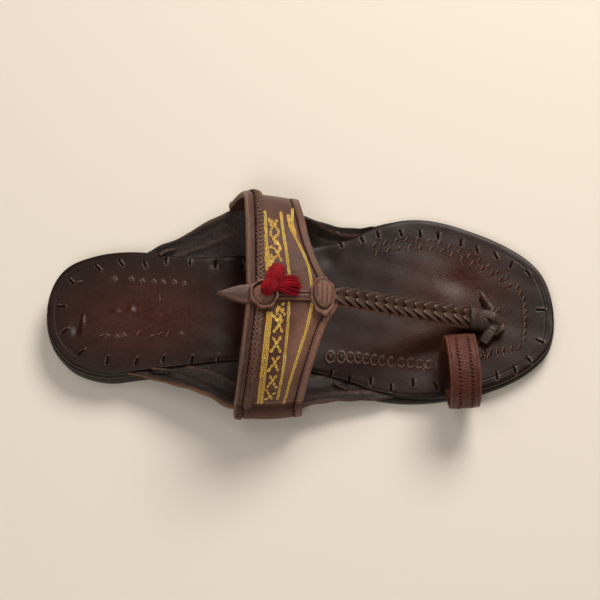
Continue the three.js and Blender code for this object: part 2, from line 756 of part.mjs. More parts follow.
function thongCurve() {
  const startX = CROWN_FRONT_X - THONG_TUCK;
  const start = onArch(startX, centreLine(startX), -STRAP_WALL / 2);
  const edgeX = CROWN_FRONT_X + 0.5 * THONG_THICKNESS;
  const edge = onArch(edgeX, centreLine(edgeX), -STRAP_WALL / 2 - 0.1 * THONG_THICKNESS);
  const endHeight = insoleBottom(SLEEVE_START_X) + THONG_END_LIFT;
  const sleeveIn = vector(SLEEVE_START_X, THONG_END_Y, endHeight);
  const mid = edge.clone().lerp(sleeveIn, 0.5).add(vector(0, 0, -THONG_SAG));
  const bendX = SLEEVE_END_X - 0.15 * SLEEVE_LENGTH;
  const floor = insoleBottom(POST_X);
  return new THREE.CatmullRomCurve3([
    start,
    edge,
    mid,
    sleeveIn,
    vector(bendX, THONG_END_Y, floor + POST_BEND_LIFT),
    vector(POST_X, THONG_END_Y, floor + 0.46 * POST_BEND_LIFT),
    vector(POST_X, THONG_END_Y, floor + SEAM_GAP),
  ], false, 'centripetal');
}

// Flat strip along a curve: edges are shares of the width, and heights stand on its middle plane.
function strip({ curve, from = 0, to = 1, rows, width, edges, ...shape }) {
  const { tops, bottom, sideways, shiftOf = () => 0 } = shape;
  const length = curve.getLength();
  const frameAt = (place) => {
    const t = clamp(place, 0, 1);
    const point = curve.getPointAt(t);
    const tangent = curve.getTangentAt(t);
    const side = sideways.clone().addScaledVector(tangent, -sideways.dot(tangent)).normalize();
    return { point, side, up: tangent.clone().cross(side).normalize() };
  };
  const layer = (heightOf) => Array.from({ length: rows + 1 }, (_, i) => edges.map((share, j) => {
    const place = lerp(from, to, i / rows) + shiftOf(share) / length;
    const { point, side, up } = frameAt(place);
    return point.clone().addScaledVector(side, share * width).addScaledVector(up, heightOf(i, j));
  }));
  return plate(layer((i, j) => tops(i, j)), layer(() => bottom));
}

function makeThongStrap() {
  return strip({
    curve: thongCurve(),
    rows: 30,
    width: THONG_WIDTH,
    edges: [-0.5, 0, 0.5],
    tops: () => THONG_THICKNESS / 2,
    bottom: -THONG_THICKNESS / 2,
    sideways: vector(0, 1, 0),
  });
}

// Plait on the thong: each strand is high at its heel end and dips under the next one.
function makeThongPlait() {
  const curve = thongCurve();
  const length = curve.getLength();
  const from = THONG_TUCK / length;
  const to = placeAtX(curve, SLEEVE_START_X + 0.1 * SLEEVE_LENGTH);
  const pitch = ((to - from) * length) / CHEVRON_COUNT;
  const profile = [1, 0.93, 0.42];
  const crown = [0.45, 0.88, 1, 0.88, 0.45];
  const strand = (i, j) => PLAIT_STRAND_HEIGHT * profile[i % profile.length] * crown[j];
  return strip({
    curve,
    from,
    to: to - (0.5 * pitch) / length,
    rows: CHEVRON_COUNT * profile.length,
    width: PLAIT_STRAND_WIDTH,
    edges: [-0.5, -0.36, 0, 0.36, 0.5],
    tops: (i, j) => THONG_THICKNESS / 2 + strand(i, j),
    bottom: 0,
    sideways: vector(0, 1, 0),
    shiftOf: (share) => Math.abs(share) * pitch,
  });
}

// Share of a curve's length at which it reaches an x.
function placeAtX(curve, x) {
  let low = 0;
  let high = 1;
  for (let i = 0; i < 30; i += 1) {
    const middle = (low + high) / 2;
    if (curve.getPointAt(middle).x < x) low = middle;
    else high = middle;
  }
  return low;
}

function makeUpper() {
  return joined([makeBand(), makeCentreStrip(), makeThongStrap(), makeThongPlait()]);
}

// Toe loop

function loopPoint(across, height) {
  const turn = THREE.MathUtils.degToRad(LOOP_TURN);
  const run = LOOP_HALF_WIDTH * across;
  const x = LOOP_X - run * Math.sin(turn);
  const y = LOOP_Y + run * Math.cos(turn);
  return vector(x, y, insoleBottom(x) + INSOLE_THICKNESS + LOOP_HEIGHT * height);
}

function makeToeLoop() {
  const points = LOOP_SHAPE.map(({ across, height }) => loopPoint(across, height));
  const last = points.length - 1;
  points[0].z = insoleBottom(points[0].x) + SEAM_GAP;
  points[last].z = insoleBottom(points[last].x) + SEAM_GAP;
  const turn = THREE.MathUtils.degToRad(LOOP_TURN);
  return strip({
    curve: new THREE.CatmullRomCurve3(points, false, 'centripetal'),
    rows: 28,
    width: LOOP_WIDTH,
    edges: [-0.5, -0.44, 0, 0.44, 0.5],
    tops: (i, j) => LOOP_WALL * ([0, 4].includes(j) ? 0.3 : 0.5),
    bottom: -LOOP_WALL / 2,
    sideways: vector(-Math.cos(turn), -Math.sin(turn), 0),
  });
}

// Sleeve round the end of the plait, and the crossed strips in front of it

function makeSleeve() {
  const curve = thongCurve();
  const from = placeAtX(curve, SLEEVE_START_X);
  const to = placeAtX(curve, SLEEVE_END_X);
  const halfRoom = THONG_WIDTH / 2 + SEAM_GAP;
  const low = -THONG_THICKNESS / 2 - SEAM_GAP;
  const high = THONG_THICKNESS / 2 + PLAIT_STRAND_HEIGHT + SEAM_GAP;
  const tube = (grow, overrun) => strip({
    curve,
    from: from - overrun,
    to: to + overrun,
    rows: 5,
    width: 2 * (halfRoom + grow),
    edges: [-0.5, -0.38, 0, 0.38, 0.5],
    tops: (i, j) => high + grow - ([0, 4].includes(j) ? SLEEVE_CORNER : 0),
    bottom: low - grow,
    sideways: vector(0, 1, 0),
  });
  return toManifold(tube(SLEEVE_WALL, 0)).subtract(toManifold(tube(0, CUTTER_OVERRUN)));
}

function knotStrip({ width, from, over, to }) {
  const points = [from, over, to].map((place) => {
    const x = POST_X + KNOT_SPAN * place.x;
    const floor = insoleBottom(x) + INSOLE_THICKNESS;
    return vector(x, THONG_END_Y + KNOT_SPAN * place.y, floor + KNOT_HEIGHT * place.height);
  });
  const run = points[2].clone().sub(points[0]);
  return strip({
    curve: new THREE.CatmullRomCurve3(points, false, 'centripetal'),
    rows: 4,
    width: KNOT_STRIP_WIDTH * width,
    edges: [-0.5, 0, 0.5],
    tops: (i, j) => KNOT_STRIP_THICKNESS / 2 - (j === 1 ? 0 : KNOT_STRIP_BEVEL),
    bottom: -KNOT_STRIP_THICKNESS / 2,
    sideways: vector(-run.y, run.x, 0).normalize(),
  });
}

function makeToeKnot() {
  const strips = KNOT_STRIPS.map((row) => toManifold(knotStrip(row)));
  return strips.reduce((knot, piece) => knot.add(piece), makeSleeve());
}

// Buttons: a disc laid on the band, its top given by a height over radius and angle

function makeButton({ x, y, halfLength, halfWidth }, base, profile, rim) {
  const segments = 24;
  const ring = (radius, heightAt) => Array.from({ length: segments }, (_, i) => {
    const angle = (2 * Math.PI * i) / segments;
    const ruffle = radius * (1 + rim(angle) * radius ** 6);
    const placeX = x + halfLength * ruffle * Math.cos(angle);
    const placeY = y + halfWidth * ruffle * Math.sin(angle);
    return onArch(placeX, placeY, heightAt(angle));
  });
  const ribbed = ({ height, rib = 0 }, angle) =>
    base + height * (1 + rib * Math.cos(FRONT_BUTTON_RIBS * angle));
  const rings = [
    ring(0.02, () => base),
    ring(0.93, () => base),
    ...profile.map((row) => ring(row.radius, (angle) => ribbed(row, angle))),
  ];
  return loft(rings);
}

function makeFrontButton() {
  const { height } = FRONT_BUTTON;
  const ruffled = (angle) => 0.05 * Math.cos(FRONT_BUTTON_RUFFLES * angle);
  const lip = (angle) => 0.14 * Math.max(0, -Math.sin(angle)) ** 3;
  return makeButton(FRONT_BUTTON, CENTRE_STRIP_THICKNESS + SEAM_GAP, [
    { radius: 1, height: 0.25 * height },
    { radius: 0.96, height: 0.45 * height },
    { radius: 0.82, height: 0.36 * height },
    { radius: 0.76, height: 0.62 * height, rib: 0.05 },
    { radius: 0.6, height: 0.86 * height, rib: 0.05 },
    { radius: 0.3, height },
    { radius: 0.02, height },
  ], (angle) => ruffled(angle) + lip(angle));
}

function makeRearButton() {
  const { height } = REAR_BUTTON;
  return makeButton(REAR_BUTTON, CENTRE_STRIP_THICKNESS + SEAM_GAP, [
    { radius: 1, height: 0.3 * height },
    { radius: 0.94, height: 0.75 * height },
    { radius: 0.84, height: 0.85 * height },
    { radius: 0.74, height: 0.5 * height },
    { radius: 0.6, height: 0.7 * height },
    { radius: 0.34, height },
    { radius: 0.02, height },
  ], () => 0);
}

// Pompom: a round head and locks of thread that fan out on the lateral side

function makePompom() {
  const base = CENTRE_STRIP_THICKNESS + SEAM_GAP + REAR_BUTTON.height + SEAM_GAP;
  const head = new THREE.SphereGeometry(POMPOM.head, 12, 8);
  head.deleteAttribute('normal');
  head.deleteAttribute('uv');
  const centre = onArch(POMPOM.x, POMPOM.y, base + POMPOM_FLATNESS * POMPOM.head);
  head.scale(1, 1, POMPOM_FLATNESS);
  head.translate(centre.x, centre.y, centre.z);
  const lock = (turn, tilt, reach) => {
    const bearing = THREE.MathUtils.degToRad(turn);
    const pitch = THREE.MathUtils.degToRad(tilt);
    const level = vector(Math.cos(bearing), Math.sin(bearing), 0);
    const way = level.multiplyScalar(Math.cos(pitch)).setZ(Math.sin(pitch));
    const side = vector(-Math.sin(bearing), Math.cos(bearing), 0);
    const up = way.clone().cross(side);
    return loft(LOCK_SECTIONS.map(({ along, girth }) => Array.from({ length: LOCK_SIDES }, (_, i) => {
      const angle = (2 * Math.PI * i) / LOCK_SIDES;
      return centre.clone()
        .addScaledVector(way, along * reach * POMPOM.lockLength)
        .addScaledVector(side, POMPOM.lockRadius * girth * Math.cos(angle))
        .addScaledVector(up, POMPOM.lockRadius * girth * Math.sin(angle))
        .add(vector(0, 0, -LOCK_SAG * along * along));
    })));
  };
  const locks = TUFTS.flatMap(({ turn, tilt, spread, reach }) => [-1, 0, 1].map((step) => {
    const outer = Math.abs(step);
    return lock(turn + step * spread, tilt - LOCK_DROOP * outer, reach * (1 - 0.1 * outer));
  }));
  return joined([mergeVertices(head), ...locks]);
}

// Assembly

function makeMesh(name, geometry, finish) {
  const mesh = new THREE.Mesh(geometry, new THREE.MeshStandardMaterial(finish));
  mesh.name = name;
  return mesh;
}

const sandal = new THREE.Group();
sandal.add(
  makeMesh('outsole', makeOutsole(), LEATHER_SOLE),
  makeMesh('heel_lift_lower', makeLift(0), LEATHER_SOLE),
  makeMesh('heel_lift_upper', makeLift(1), LEATHER_SOLE),
  makeMesh('ear_medial', makeEar(MEDIAL), LEATHER_EAR),
  makeMesh('ear_lateral', makeEar(LATERAL), LEATHER_EAR),
  makeMesh('insole', toGeometry(makeInsole()), LEATHER_FOOTBED),
  makeMesh('upper', toGeometry(makeUpper()), LEATHER_STRAP),
  makeMesh('toe_loop', makeToeLoop(), LEATHER_STRAP),
  makeMesh('toe_knot', toGeometry(makeToeKnot()), LEATHER_SOLE),
  makeMesh('front_button', makeFrontButton(), LEATHER_STRAP),
  makeMesh('rear_button', makeRearButton(), LEATHER_STRAP),
  makeMesh('pompom', toGeometry(makePompom()), CRIMSON_THREAD),
);

const bounds = new THREE.Box3().setFromObject(sandal);
const middle = bounds.getCenter(new THREE.Vector3());
sandal.position.set(-middle.x, -middle.y, -bounds.min.z);

const part = new THREE.Group();
part.add(sandal);

export default part;
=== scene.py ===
"""A left-foot kolhapuri sandal: leather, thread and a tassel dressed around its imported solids."""

import logging
import math
from collections.abc import Callable, Sequence
from dataclasses import dataclass, field
from enum import Enum

import bmesh
import bpy
import numpy as np
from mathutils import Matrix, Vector

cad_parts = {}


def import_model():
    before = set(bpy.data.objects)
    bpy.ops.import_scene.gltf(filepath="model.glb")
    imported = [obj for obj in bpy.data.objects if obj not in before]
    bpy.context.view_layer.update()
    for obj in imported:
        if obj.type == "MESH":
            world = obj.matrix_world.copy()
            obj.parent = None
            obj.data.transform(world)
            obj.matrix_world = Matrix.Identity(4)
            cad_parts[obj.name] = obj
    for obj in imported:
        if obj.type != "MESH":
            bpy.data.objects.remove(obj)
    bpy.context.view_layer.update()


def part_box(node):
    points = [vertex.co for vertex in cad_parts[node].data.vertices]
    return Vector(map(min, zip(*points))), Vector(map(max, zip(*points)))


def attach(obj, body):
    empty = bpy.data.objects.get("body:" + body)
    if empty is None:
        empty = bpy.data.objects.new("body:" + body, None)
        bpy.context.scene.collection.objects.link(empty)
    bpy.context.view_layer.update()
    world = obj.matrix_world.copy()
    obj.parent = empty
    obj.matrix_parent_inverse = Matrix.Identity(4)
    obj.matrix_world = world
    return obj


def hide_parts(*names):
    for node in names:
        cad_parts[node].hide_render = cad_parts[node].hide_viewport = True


Array = np.ndarray
Reader = Callable[[Array], Array]
Rows = Sequence[Sequence[float]]
Thing = bpy.types.Object
Material = bpy.types.Material
Socket = bpy.types.NodeSocket

MM = 0.001
BODY = "root"
SEED = 7
UP = np.array([0, 0, 1.0])
GOLDEN_ANGLE = 2.399963
# Near-black brown that the shade mark blends leather towards: painted shade in grooves, creases, slits,
# dents, punched dashes and between strands, and the darker rim of the footbed and the darker leaf.
SHADE_COLOUR = "150d0a"

log = logging.getLogger("kolhapuri")


class Side(Enum):
    """The two sides of the foot, with their sign along Y."""

    MEDIAL = -1
    LATERAL = 1


class Slot(Enum):
    """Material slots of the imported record."""

    SOLE = "sole_leather"
    EAR = "ear_leather"
    FOOTBED = "footbed_leather"
    STRAP = "strap_leather"
    KNOT = "knot_leather"
    CRIMSON = "crimson_thread"
    GOLD = "gold_thread"


# Tables of the pattern: shares of the sole's length, its ball width and the other named sizes.

OUTLINE = (
    "along lateral medial ledge",
    (0, -0.029, -0.029, 0.15), (0.009, 0.11, -0.171, 0.15), (0.029, 0.196, -0.257, 0.15),
    (0.06, 0.25, -0.327, 0.15), (0.122, 0.294, -0.373, 0.15), (0.183, 0.299, -0.358, 0.15),
    (0.284, 0.269, -0.327, 0.15), (0.378, 0.286, -0.299, 0.15), (0.464, 0.323, -0.309, 0.15),
    (0.536, 0.369, -0.35, 0.2), (0.597, 0.424, -0.41, 0.7), (0.644, 0.486, -0.46, 0.8),
    (0.709, 0.521, -0.479, 0.4), (0.773, 0.505, -0.468, 0.15), (0.8525, 0.435, -0.429, 0.15),
    (0.914, 0.356, -0.369, 0.15), (0.962, 0.259, -0.286, 0.15), (0.989, 0.145, -0.196, 0.15),
    (1, -0.041, -0.041, 0.15),
)
MEDIAL_EAR = (
    "along reach lift",
    (0.158, -0.351, 0), (0.223, -0.403, 0.3), (0.263, -0.439, 0.55), (0.32, -0.498, 0.85),
    (0.363, -0.561, 1), (0.428, -0.571, 1), (0.5, -0.54, 0.95), (0.536, -0.513, 0.8),
    (0.576, -0.492, 0.6), (0.615, -0.483, 0.35), (0.65, -0.473, 0.12), (0.68, -0.457, 0),
)
LATERAL_EAR = (
    "along reach lift",
    (0.194, 0.296, 0), (0.223, 0.33, 0.3), (0.263, 0.364, 0.5), (0.302, 0.419, 0.8), (0.342, 0.475, 0.95),
    (0.363, 0.498, 1), (0.428, 0.506, 1), (0.5, 0.498, 0.95), (0.536, 0.472, 0.8), (0.576, 0.454, 0.55),
    (0.615, 0.456, 0.3), (0.65, 0.471, 0.12), (0.675, 0.465, 0),
)
BAND_EDGES = (
    "along rear front",
    (0, -0.255, 0.002), (0.12, -0.24, 0.022), (0.25, -0.222, 0.062), (0.34, -0.21, 0.098),
    (0.42, -0.202, 0.142), (0.5, -0.204, 0.096), (0.62, -0.207, 0.042), (0.75, -0.213, 0.01),
    (0.86, -0.225, -0.01), (1, -0.285, 0),
)
LEAF_WIDTHS = (
    "along width",
    (0, 0.06), (0.08, 0.38), (0.16, 0.72), (0.26, 0.96), (0.36, 1), (0.46, 0.62), (0.56, 0.5), (0.8, 0.5),
    (1, 0.7),
)
LOOP_SHAPE = (
    (-0.28, -0.16), (-0.3, 0.03), (-0.62, 0.09), (-0.93, 0.27), (-1, 0.5), (-0.8, 0.83), (-0.35, 1),
    (0.3, 0.99), (0.82, 0.83), (1, 0.55), (0.99, 0.2), (0.96, 0.03), (0.95, -0.16),
)

# Charts of the small repeats, in picture points: a place on the leather, and where a mark points.

HEEL_SLITS = ((61, 306, 0), (64, 331, 38), (81, 352, 40), (107, 360, 78), (136, 361, 72), (163, 359, 80),
              (192, 359.5, 88), (218, 359, 88), (242, 353.5, 120))
FAR_SLITS = ((71, 281, 315), (98, 268, 318), (121, 263, 305), (145, 265, 288), (166, 261, 275),
             (190, 262, 270), (216, 264, 262), (243, 265, 290), (341, 244.5, 290), (362, 240, 295),
             (378, 234.5, 285), (401, 233.5, 290), (420, 234, 275), (438, 236, 265), (461, 243, 262),
             (477, 250.5, 280), (496, 256, 300), (511, 265, 250), (528, 273, 315))
TOE_SLITS = ((541, 310, 2), (540, 341, 340), (529, 360, 310), (515, 370, 290), (497, 376, 285),
             (478, 383, 275), (436.5, 386, 295), (413, 383, 272), (391, 388, 272), (371, 381.5, 270),
             (349.5, 379.5, 265), (331, 374, 250))
HEEL_STAMPS = ((115, 278.6, 305), (131.4, 278.6, 305), (142.4, 280.6, 308), (153.8, 281.2, 308),
               (163.2, 281.9, 310), (174.5, 281.9, 305), (184, 283.3, 300), (80, 282, 20),
               (160, 297, 90))
HEEL_DOTS = ((101.2, 336.2, 20), (107, 335.5, 320), (116.6, 336, 320), (123.7, 334.8, 320),
             (138.4, 333, 60), (152.5, 336, 20), (160.2, 334, 30), (168, 333.7, 60), (181.2, 334, 320))
NEAR_CRESCENTS = ((330, 357, 5.4), (341, 357, 5.4), (350, 357.5, 4.6), (358, 358, 4.6), (366, 359, 4.4),
                  (374, 360, 4.4), (382, 361, 4.2), (391, 362, 4.2), (401, 362.5, 4), (410, 363, 4),
                  (419, 364, 3.8), (428, 364.5, 3.6))
# Each dent: a place in picture points, its half length and half width, and its depth.
DENTS = ((77, 328, 2.6, 4.2, 0.9), (82.5, 323, 1.1, 5, -0.6), (115.6, 313, 2.4, 2.4, -0.6),
         (131, 311, 1.8, 2.4, -0.7), (462, 281, 9, 7, 0.5), (435, 285, 7, 12, -0.35),
         (330, 259, 5, 5, 0.7), (216, 264, 3, 3, 0.8), (205, 290, 12, 16, 0.4))
NEAR_DASHES = ((424, 367, 300), (436, 366, 300), (484, 352, 90), (490, 353, 80), (497, 352, 85),
               (503, 351, 80), (511, 350, 75), (519, 348, 60), (481, 358, 60), (488, 357, 70))


def angle_place(along: Array) -> Array:
    """Place along a rounded outline, spread out at both tips."""
    return np.arccos(np.clip(1 - 2 * np.asarray(along, float), -1, 1))


def column(table: tuple, name: str, place_of: Reader = np.asarray) -> Reader:
    """Reads one named column of a table smoothly between its rows.

    Args:
        table: A line of column names and then the rows.
        name: The column to read.
        place_of: Turns a place along the table into the one it is spaced by.

    Returns:
        A function from places along the table to values of the column.
    """
    names = table[0].split()
    rows = np.array(table[1:], float)
    places = place_of(rows[:, 0])
    values = rows[:, names.index(name)]
    after = np.minimum(np.arange(len(rows)) + 1, len(rows) - 1)
    before = np.maximum(np.arange(len(rows)) - 1, 0)
    slopes = (values[after] - values[before]) / (places[after] - places[before])

    def read(along: Array) -> Array:
        """Value of the column at each place.

        Args:
            along: Places along the table.

        Returns:
            The values.
        """
        at = np.clip(place_of(along), places[0], places[-1])
        i = np.clip(np.searchsorted(places, at, side="right") - 1, 0, len(places) - 2)
        span = places[i + 1] - places[i]
        t = (at - places[i]) / span
        rise = values[i + 1] - values[i]
        start = slopes[i] * span - rise
        end = rise - slopes[i + 1] * span
        return values[i] + t * rise + t * (1 - t) * ((1 - t) * start + t * end)

    return read


def mix(a: Array, b: Array, share: Array) -> Array:
    """Value between a and b."""
    return a + (b - a) * share


def bump(distance: Array, width: float) -> Array:
    """Soft round ridge, 1 where the distance is 0 and fading over the width."""
    return np.exp(-((distance / width) ** 2))


def step(value: Array, low: float, high: float) -> Array:
    """Smooth step from 0 at low to 1 at high."""
    t = np.clip((value - low) / (high - low), 0, 1)
    return t * t * (3 - 2 * t)


def unit(vectors: Array) -> Array:
    """Vectors scaled to length one."""
    return vectors / np.maximum(np.linalg.norm(vectors, axis=-1, keepdims=True), 1e-12)


def heading(path: Array) -> Array:
    """Direction of a line at each of its points."""
    return unit(np.gradient(path, axis=0))


def round_angles(count: int) -> Array:
    """Angles evenly spaced round a full turn."""
    return np.linspace(0, 2 * math.pi, count, endpoint=False)


def powered(value: Array, power: float) -> Array:
    """Value raised to a power, with its sign kept."""
    return np.sign(value) * np.abs(value) ** power


def crosswise(path: Array, ups: Array = UP) -> tuple[Array, Array]:
    """Sideways and upward directions at each point of a path.

    Args:
        path: Points along the path.
        ups: Rough direction of its upper face.

    Returns:
        Both directions, a row for each point.
    """
    tangent = heading(path)
    side = unit(np.cross(ups, tangent))
    return side, np.cross(tangent, side)


def swept(path: Array, side: Array, up: Array, across: Array, height: Array) -> Array:
    """Rings of a section that is set along a path.

    Args:
        path: Points along its middle.
        side: Sideways direction at each point.
        up: Upward direction at each point.
        across: Sideways distances of the section's points.
        height: Upward distances of the section's points.

    Returns:
        An array of rings by points by three.
    """
    return path[:, None, :] + across[..., None] * side[:, None, :] + height[..., None] * up[:, None, :]


def smooth_path(points: Rows, count: int) -> Array:
    """Evenly spaced points of a centripetal curve through some points.

    Args:
        points: The points that the curve passes through.
        count: How many points to return.

    Returns:
        An array of count points, evenly spaced along the curve.
    """
    p = np.array(points, float)
    p = np.vstack([2 * p[0] - p[1], p, 2 * p[-1] - p[-2]])
    dense = []
    for i in range(1, len(p) - 2):
        before, here, there, after = p[i - 1 : i + 3]
        d0, d1, d2 = (max(np.linalg.norm(b - a) ** 0.5, 1e-4)
                      for a, b in ((before, here), (here, there), (there, after)))
        m1 = ((here - before) / d0 - (there - before) / (d0 + d1) + (there - here) / d1) * d1
        m2 = ((there - here) / d1 - (after - here) / (d1 + d2) + (after - there) / d2) * d1
        t = np.linspace(0, 1, 60, endpoint=False)[:, None]
        dense.append(here + m1 * t + (3 * (there - here) - 2 * m1 - m2) * t**2
                     + (2 * (here - there) + m1 + m2) * t**3)
    return even_path(np.vstack([*dense, p[-2][None]]), count)


def even_path(points: Array, count: int) -> Array:
    """Points spaced evenly along a line of points.

    Args:
        points: The line of points.
        count: How many points to return.

    Returns:
        The new points.
    """
    steps = np.linalg.norm(np.diff(points, axis=0), axis=1)
    lengths = np.concatenate([[0], np.cumsum(steps)])
    at = np.linspace(0, lengths[-1], count)
    return np.stack([np.interp(at, lengths, points[:, k]) for k in range(points.shape[1])], axis=1)


def path_length(points: Array) -> float:
    """Length of a line of points."""
    return float(np.linalg.norm(np.diff(points, axis=0), axis=1).sum())


@dataclass(frozen=True)
class SandalForm:
    """The forms that every piece follows, in millimetres: toe +X, little toe +Y, floor at 0."""

    length: float = 278
    ball_width: float = 108.5
    outsole: float = 4
    insole: float = 4.5
    ledge: float = 3.8
    dish: float = 0.9
    lift: float = 3.6
    lift_taper: float = 0.985
    heel_length: float = 79
    arch_length: float = 80
    spring_length: float = 71
    spring: float = 3
    gap: float = 0.3
    ear_wall: float = 2.6
    ear_lift: float = 9.5
    ear_curl: float = 1.2
    wall: float = 2.8
    crown_y: float = -11.5
    centre_y: float = -9.8
    centre_slope: float = 0.085
    crown_rear: tuple[float, float] = (-28, 62.5)
    crown_front: tuple[float, float] = (20, 48.5)
    medial_roundness: float = 2.3
    lateral_roundness: tuple[float, float] = (3.2, 2.6)
    crease_rise: float = 3.4
    crease_insets: tuple[float, float] = (2, -0.5)
    strip_height: float = 1.6
    thong_width: float = 9
    thong_wall: float = 2
    thong_tuck: float = 9
    thong_end_y: float = -8
    thong_end_lift: float = 11.9
    post_from_toe: float = 35.5
    sleeve_length: float = 10
    sleeve_to_post: float = 3.5
    loop_from_toe: float = 53.7
    loop_y: float = -41
    loop_half_width: float = 18.5
    loop_height: float = 29
    loop_turn: float = 4
    readers: dict[str, Reader] = field(default_factory=dict)

    def __post_init__(self) -> None:
        """Prepares the readers of the pattern's tables."""
        self.readers.update({
            Side.LATERAL: column(OUTLINE, "lateral", angle_place),
            Side.MEDIAL: column(OUTLINE, "medial", angle_place),
            "ledge": column(OUTLINE, "ledge", angle_place),
            "rear": column(BAND_EDGES, "rear"),
            "front": column(BAND_EDGES, "front"),
            "leaf": column(LEAF_WIDTHS, "width"),
        })
        for side, table in ((Side.MEDIAL, MEDIAL_EAR), (Side.LATERAL, LATERAL_EAR)):
            for name in ("reach", "lift"):
                self.readers[(side, name)] = column(table, name)

    @property
    def half(self) -> float:
        """Half of the sole's length."""
        return self.length / 2

    @property
    def post_x(self) -> float:
        """Place of the post that the thong goes down at."""
        return self.half - self.post_from_toe

    @property
    def loop_x(self) -> float:
        """Place of the toe loop along the sole."""
        return self.half - self.loop_from_toe

    def along(self, x: Array) -> Array:
        """Share of the sole's length at an x."""
        return np.clip((np.asarray(x, float) + self.half) / self.length, 0, 1)

    def edge(self, x: Array, side: Side) -> Array:
        """Y of the outsole's edge."""
        return self.ball_width * self.readers[side](self.along(x))

    def insole_edge(self, x: Array, side: Side) -> Array:
        """Y of the footbed's edge, a ledge inside the outsole's.

        Args:
            x: Places along the foot.
            side: The side of the foot.

        Returns:
            Y at each place.
        """
        inset = self.ledge * self.readers["ledge"](self.along(x))
        reach = self.half / (self.half - inset)
        return self.edge(x * reach, side) - side.value * inset

    def rise(self, x: Array) -> Array:
        """Height of the outsole's underside.

        Args:
            x: Places along the foot.

        Returns:
            The heights.
        """
        t = np.clip((x + self.half - self.heel_length) / self.arch_length, 0, 1)
        arch = 1 - t**3 * (t * (6 * t - 15) + 10)
        spring = np.maximum(0, 1 - (self.half - x) / self.spring_length)
        return 2 * (self.lift + self.gap) * arch + self.spring * spring**2

    def outsole_top(self, x: Array) -> Array:
        """Height of the outsole's upper face."""
        return self.rise(x) + self.outsole

    def insole_bottom(self, x: Array) -> Array:
        """Height of the footbed's underside."""
        return self.outsole_top(x) + self.gap

    def insole_top(self, x: Array, y: Array) -> Array:
        """Height of the footbed's upper face before any mark is pressed into it.

        Args:
            x: Places along the foot.
            y: Places across the foot.

        Returns:
            The heights.
        """
        lateral = self.insole_edge(x, Side.LATERAL)
        medial = self.insole_edge(x, Side.MEDIAL)
        half = np.maximum((lateral - medial) / 2, 1)
        out = np.minimum(1, ((y - (lateral + medial) / 2) / half) ** 2)
        return self.insole_bottom(x) + self.insole - self.dish * (1 - out)

    def ear_span(self, side: Side) -> tuple[float, float]:
        """X at both ends of an ear."""
        rows = MEDIAL_EAR if side is Side.MEDIAL else LATERAL_EAR
        return tuple(self.length * rows[i][0] - self.half for i in (1, -1))

    def ear_reach(self, side: Side, x: Array) -> Array:
        """Y of an ear's rim."""
        return self.ball_width * self.readers[(side, "reach")](self.along(x))

    def ear_underside(self, side: Side, x: Array, y: Array) -> Array:
        """Height of an ear's underside.

        Args:
            side: The side of the foot.
            x: Places along the foot.
            y: Places across the foot.

        Returns:
            The heights.
        """
        edge = side.value * self.insole_edge(x, side)
        reach = side.value * self.ear_reach(side, x)
        outside = np.clip((side.value * y - edge) / np.maximum(reach - edge, 1), 0, 1.2)
        lift = self.readers[(side, "lift")](self.along(x))
        return self.insole_bottom(x) + self.ear_lift * lift * outside**self.ear_curl

    def ear_rim(self, side: Side, x: Array) -> tuple[Array, Array]:
        """Y and height of the middle of an ear's rim."""
        y = self.ear_reach(side, x)
        return y, self.ear_underside(side, x, y) + self.ear_wall / 2

    def arch_ends(self, x: Array) -> dict[str, Array]:
        """Crown, creases and roundness of the band's arch at some places along the foot.

        Args:
            x: Places along the foot.

        Returns:
            Values for each place, by name.
        """
        share = (x - self.crown_rear[0]) / (self.crown_front[0] - self.crown_rear[0])
        near_y, near_z = self.ear_rim(Side.MEDIAL, x)
        far_y, far_z = self.ear_rim(Side.LATERAL, x)
        return {
            "crown": mix(self.crown_rear[1], self.crown_front[1], share),
            "near_y": near_y + self.crease_insets[0],
            "near_z": near_z + self.crease_rise,
            "far_y": far_y - self.crease_insets[1],
            "far_z": far_z + self.crease_rise,
            "far_power": mix(*self.lateral_roundness, np.clip(share, 0, 1)),
        }

    def arch_height(self, x: Array, y: Array) -> Array:
        """Height of the band's middle surface over a place of the footbed.

        Args:
            x: Places along the foot.
            y: Places across the foot.

        Returns:
            The heights.
        """
        ends = self.arch_ends(x)
        near = np.asarray(y) < self.crown_y
        end_y = np.where(near, ends["near_y"], ends["far_y"])
        end_z = np.where(near, ends["near_z"], ends["far_z"])
        power = np.where(near, self.medial_roundness, ends["far_power"])
        reach = np.minimum(1, np.abs((y - self.crown_y) / (end_y - self.crown_y)))
        return end_z + (ends["crown"] - end_z) * (1 - reach**power) ** (1 / power)

    def on_arch(self, x: Array, y: Array, height: Array) -> tuple[Array, Array]:
        """Points above the band's outer face, and the normals there.

        Args:
            x: Places along the foot.
            y: Places across the foot.
            height: Height above the outer face.

        Returns:
            The points and the normals.
        """
        x, y, height = np.broadcast_arrays(np.asarray(x, float), y, height)
        h = 0.4
        slope_x = (self.arch_height(x + h, y) - self.arch_height(x - h, y)) / (2 * h)
        slope_y = (self.arch_height(x, y + h) - self.arch_height(x, y - h)) / (2 * h)
        normal = unit(np.stack([-slope_x, -slope_y, np.ones_like(x)], axis=-1))
        base = np.stack([x, y, self.arch_height(x, y)], axis=-1)
        return base + normal * (self.wall / 2 + height)[..., None], normal

    def centre_line(self, x: Array) -> Array:
        """Sideways place of the centre strip and the thong's start."""
        return self.centre_y + self.centre_slope * (x - self.crown_front[0])

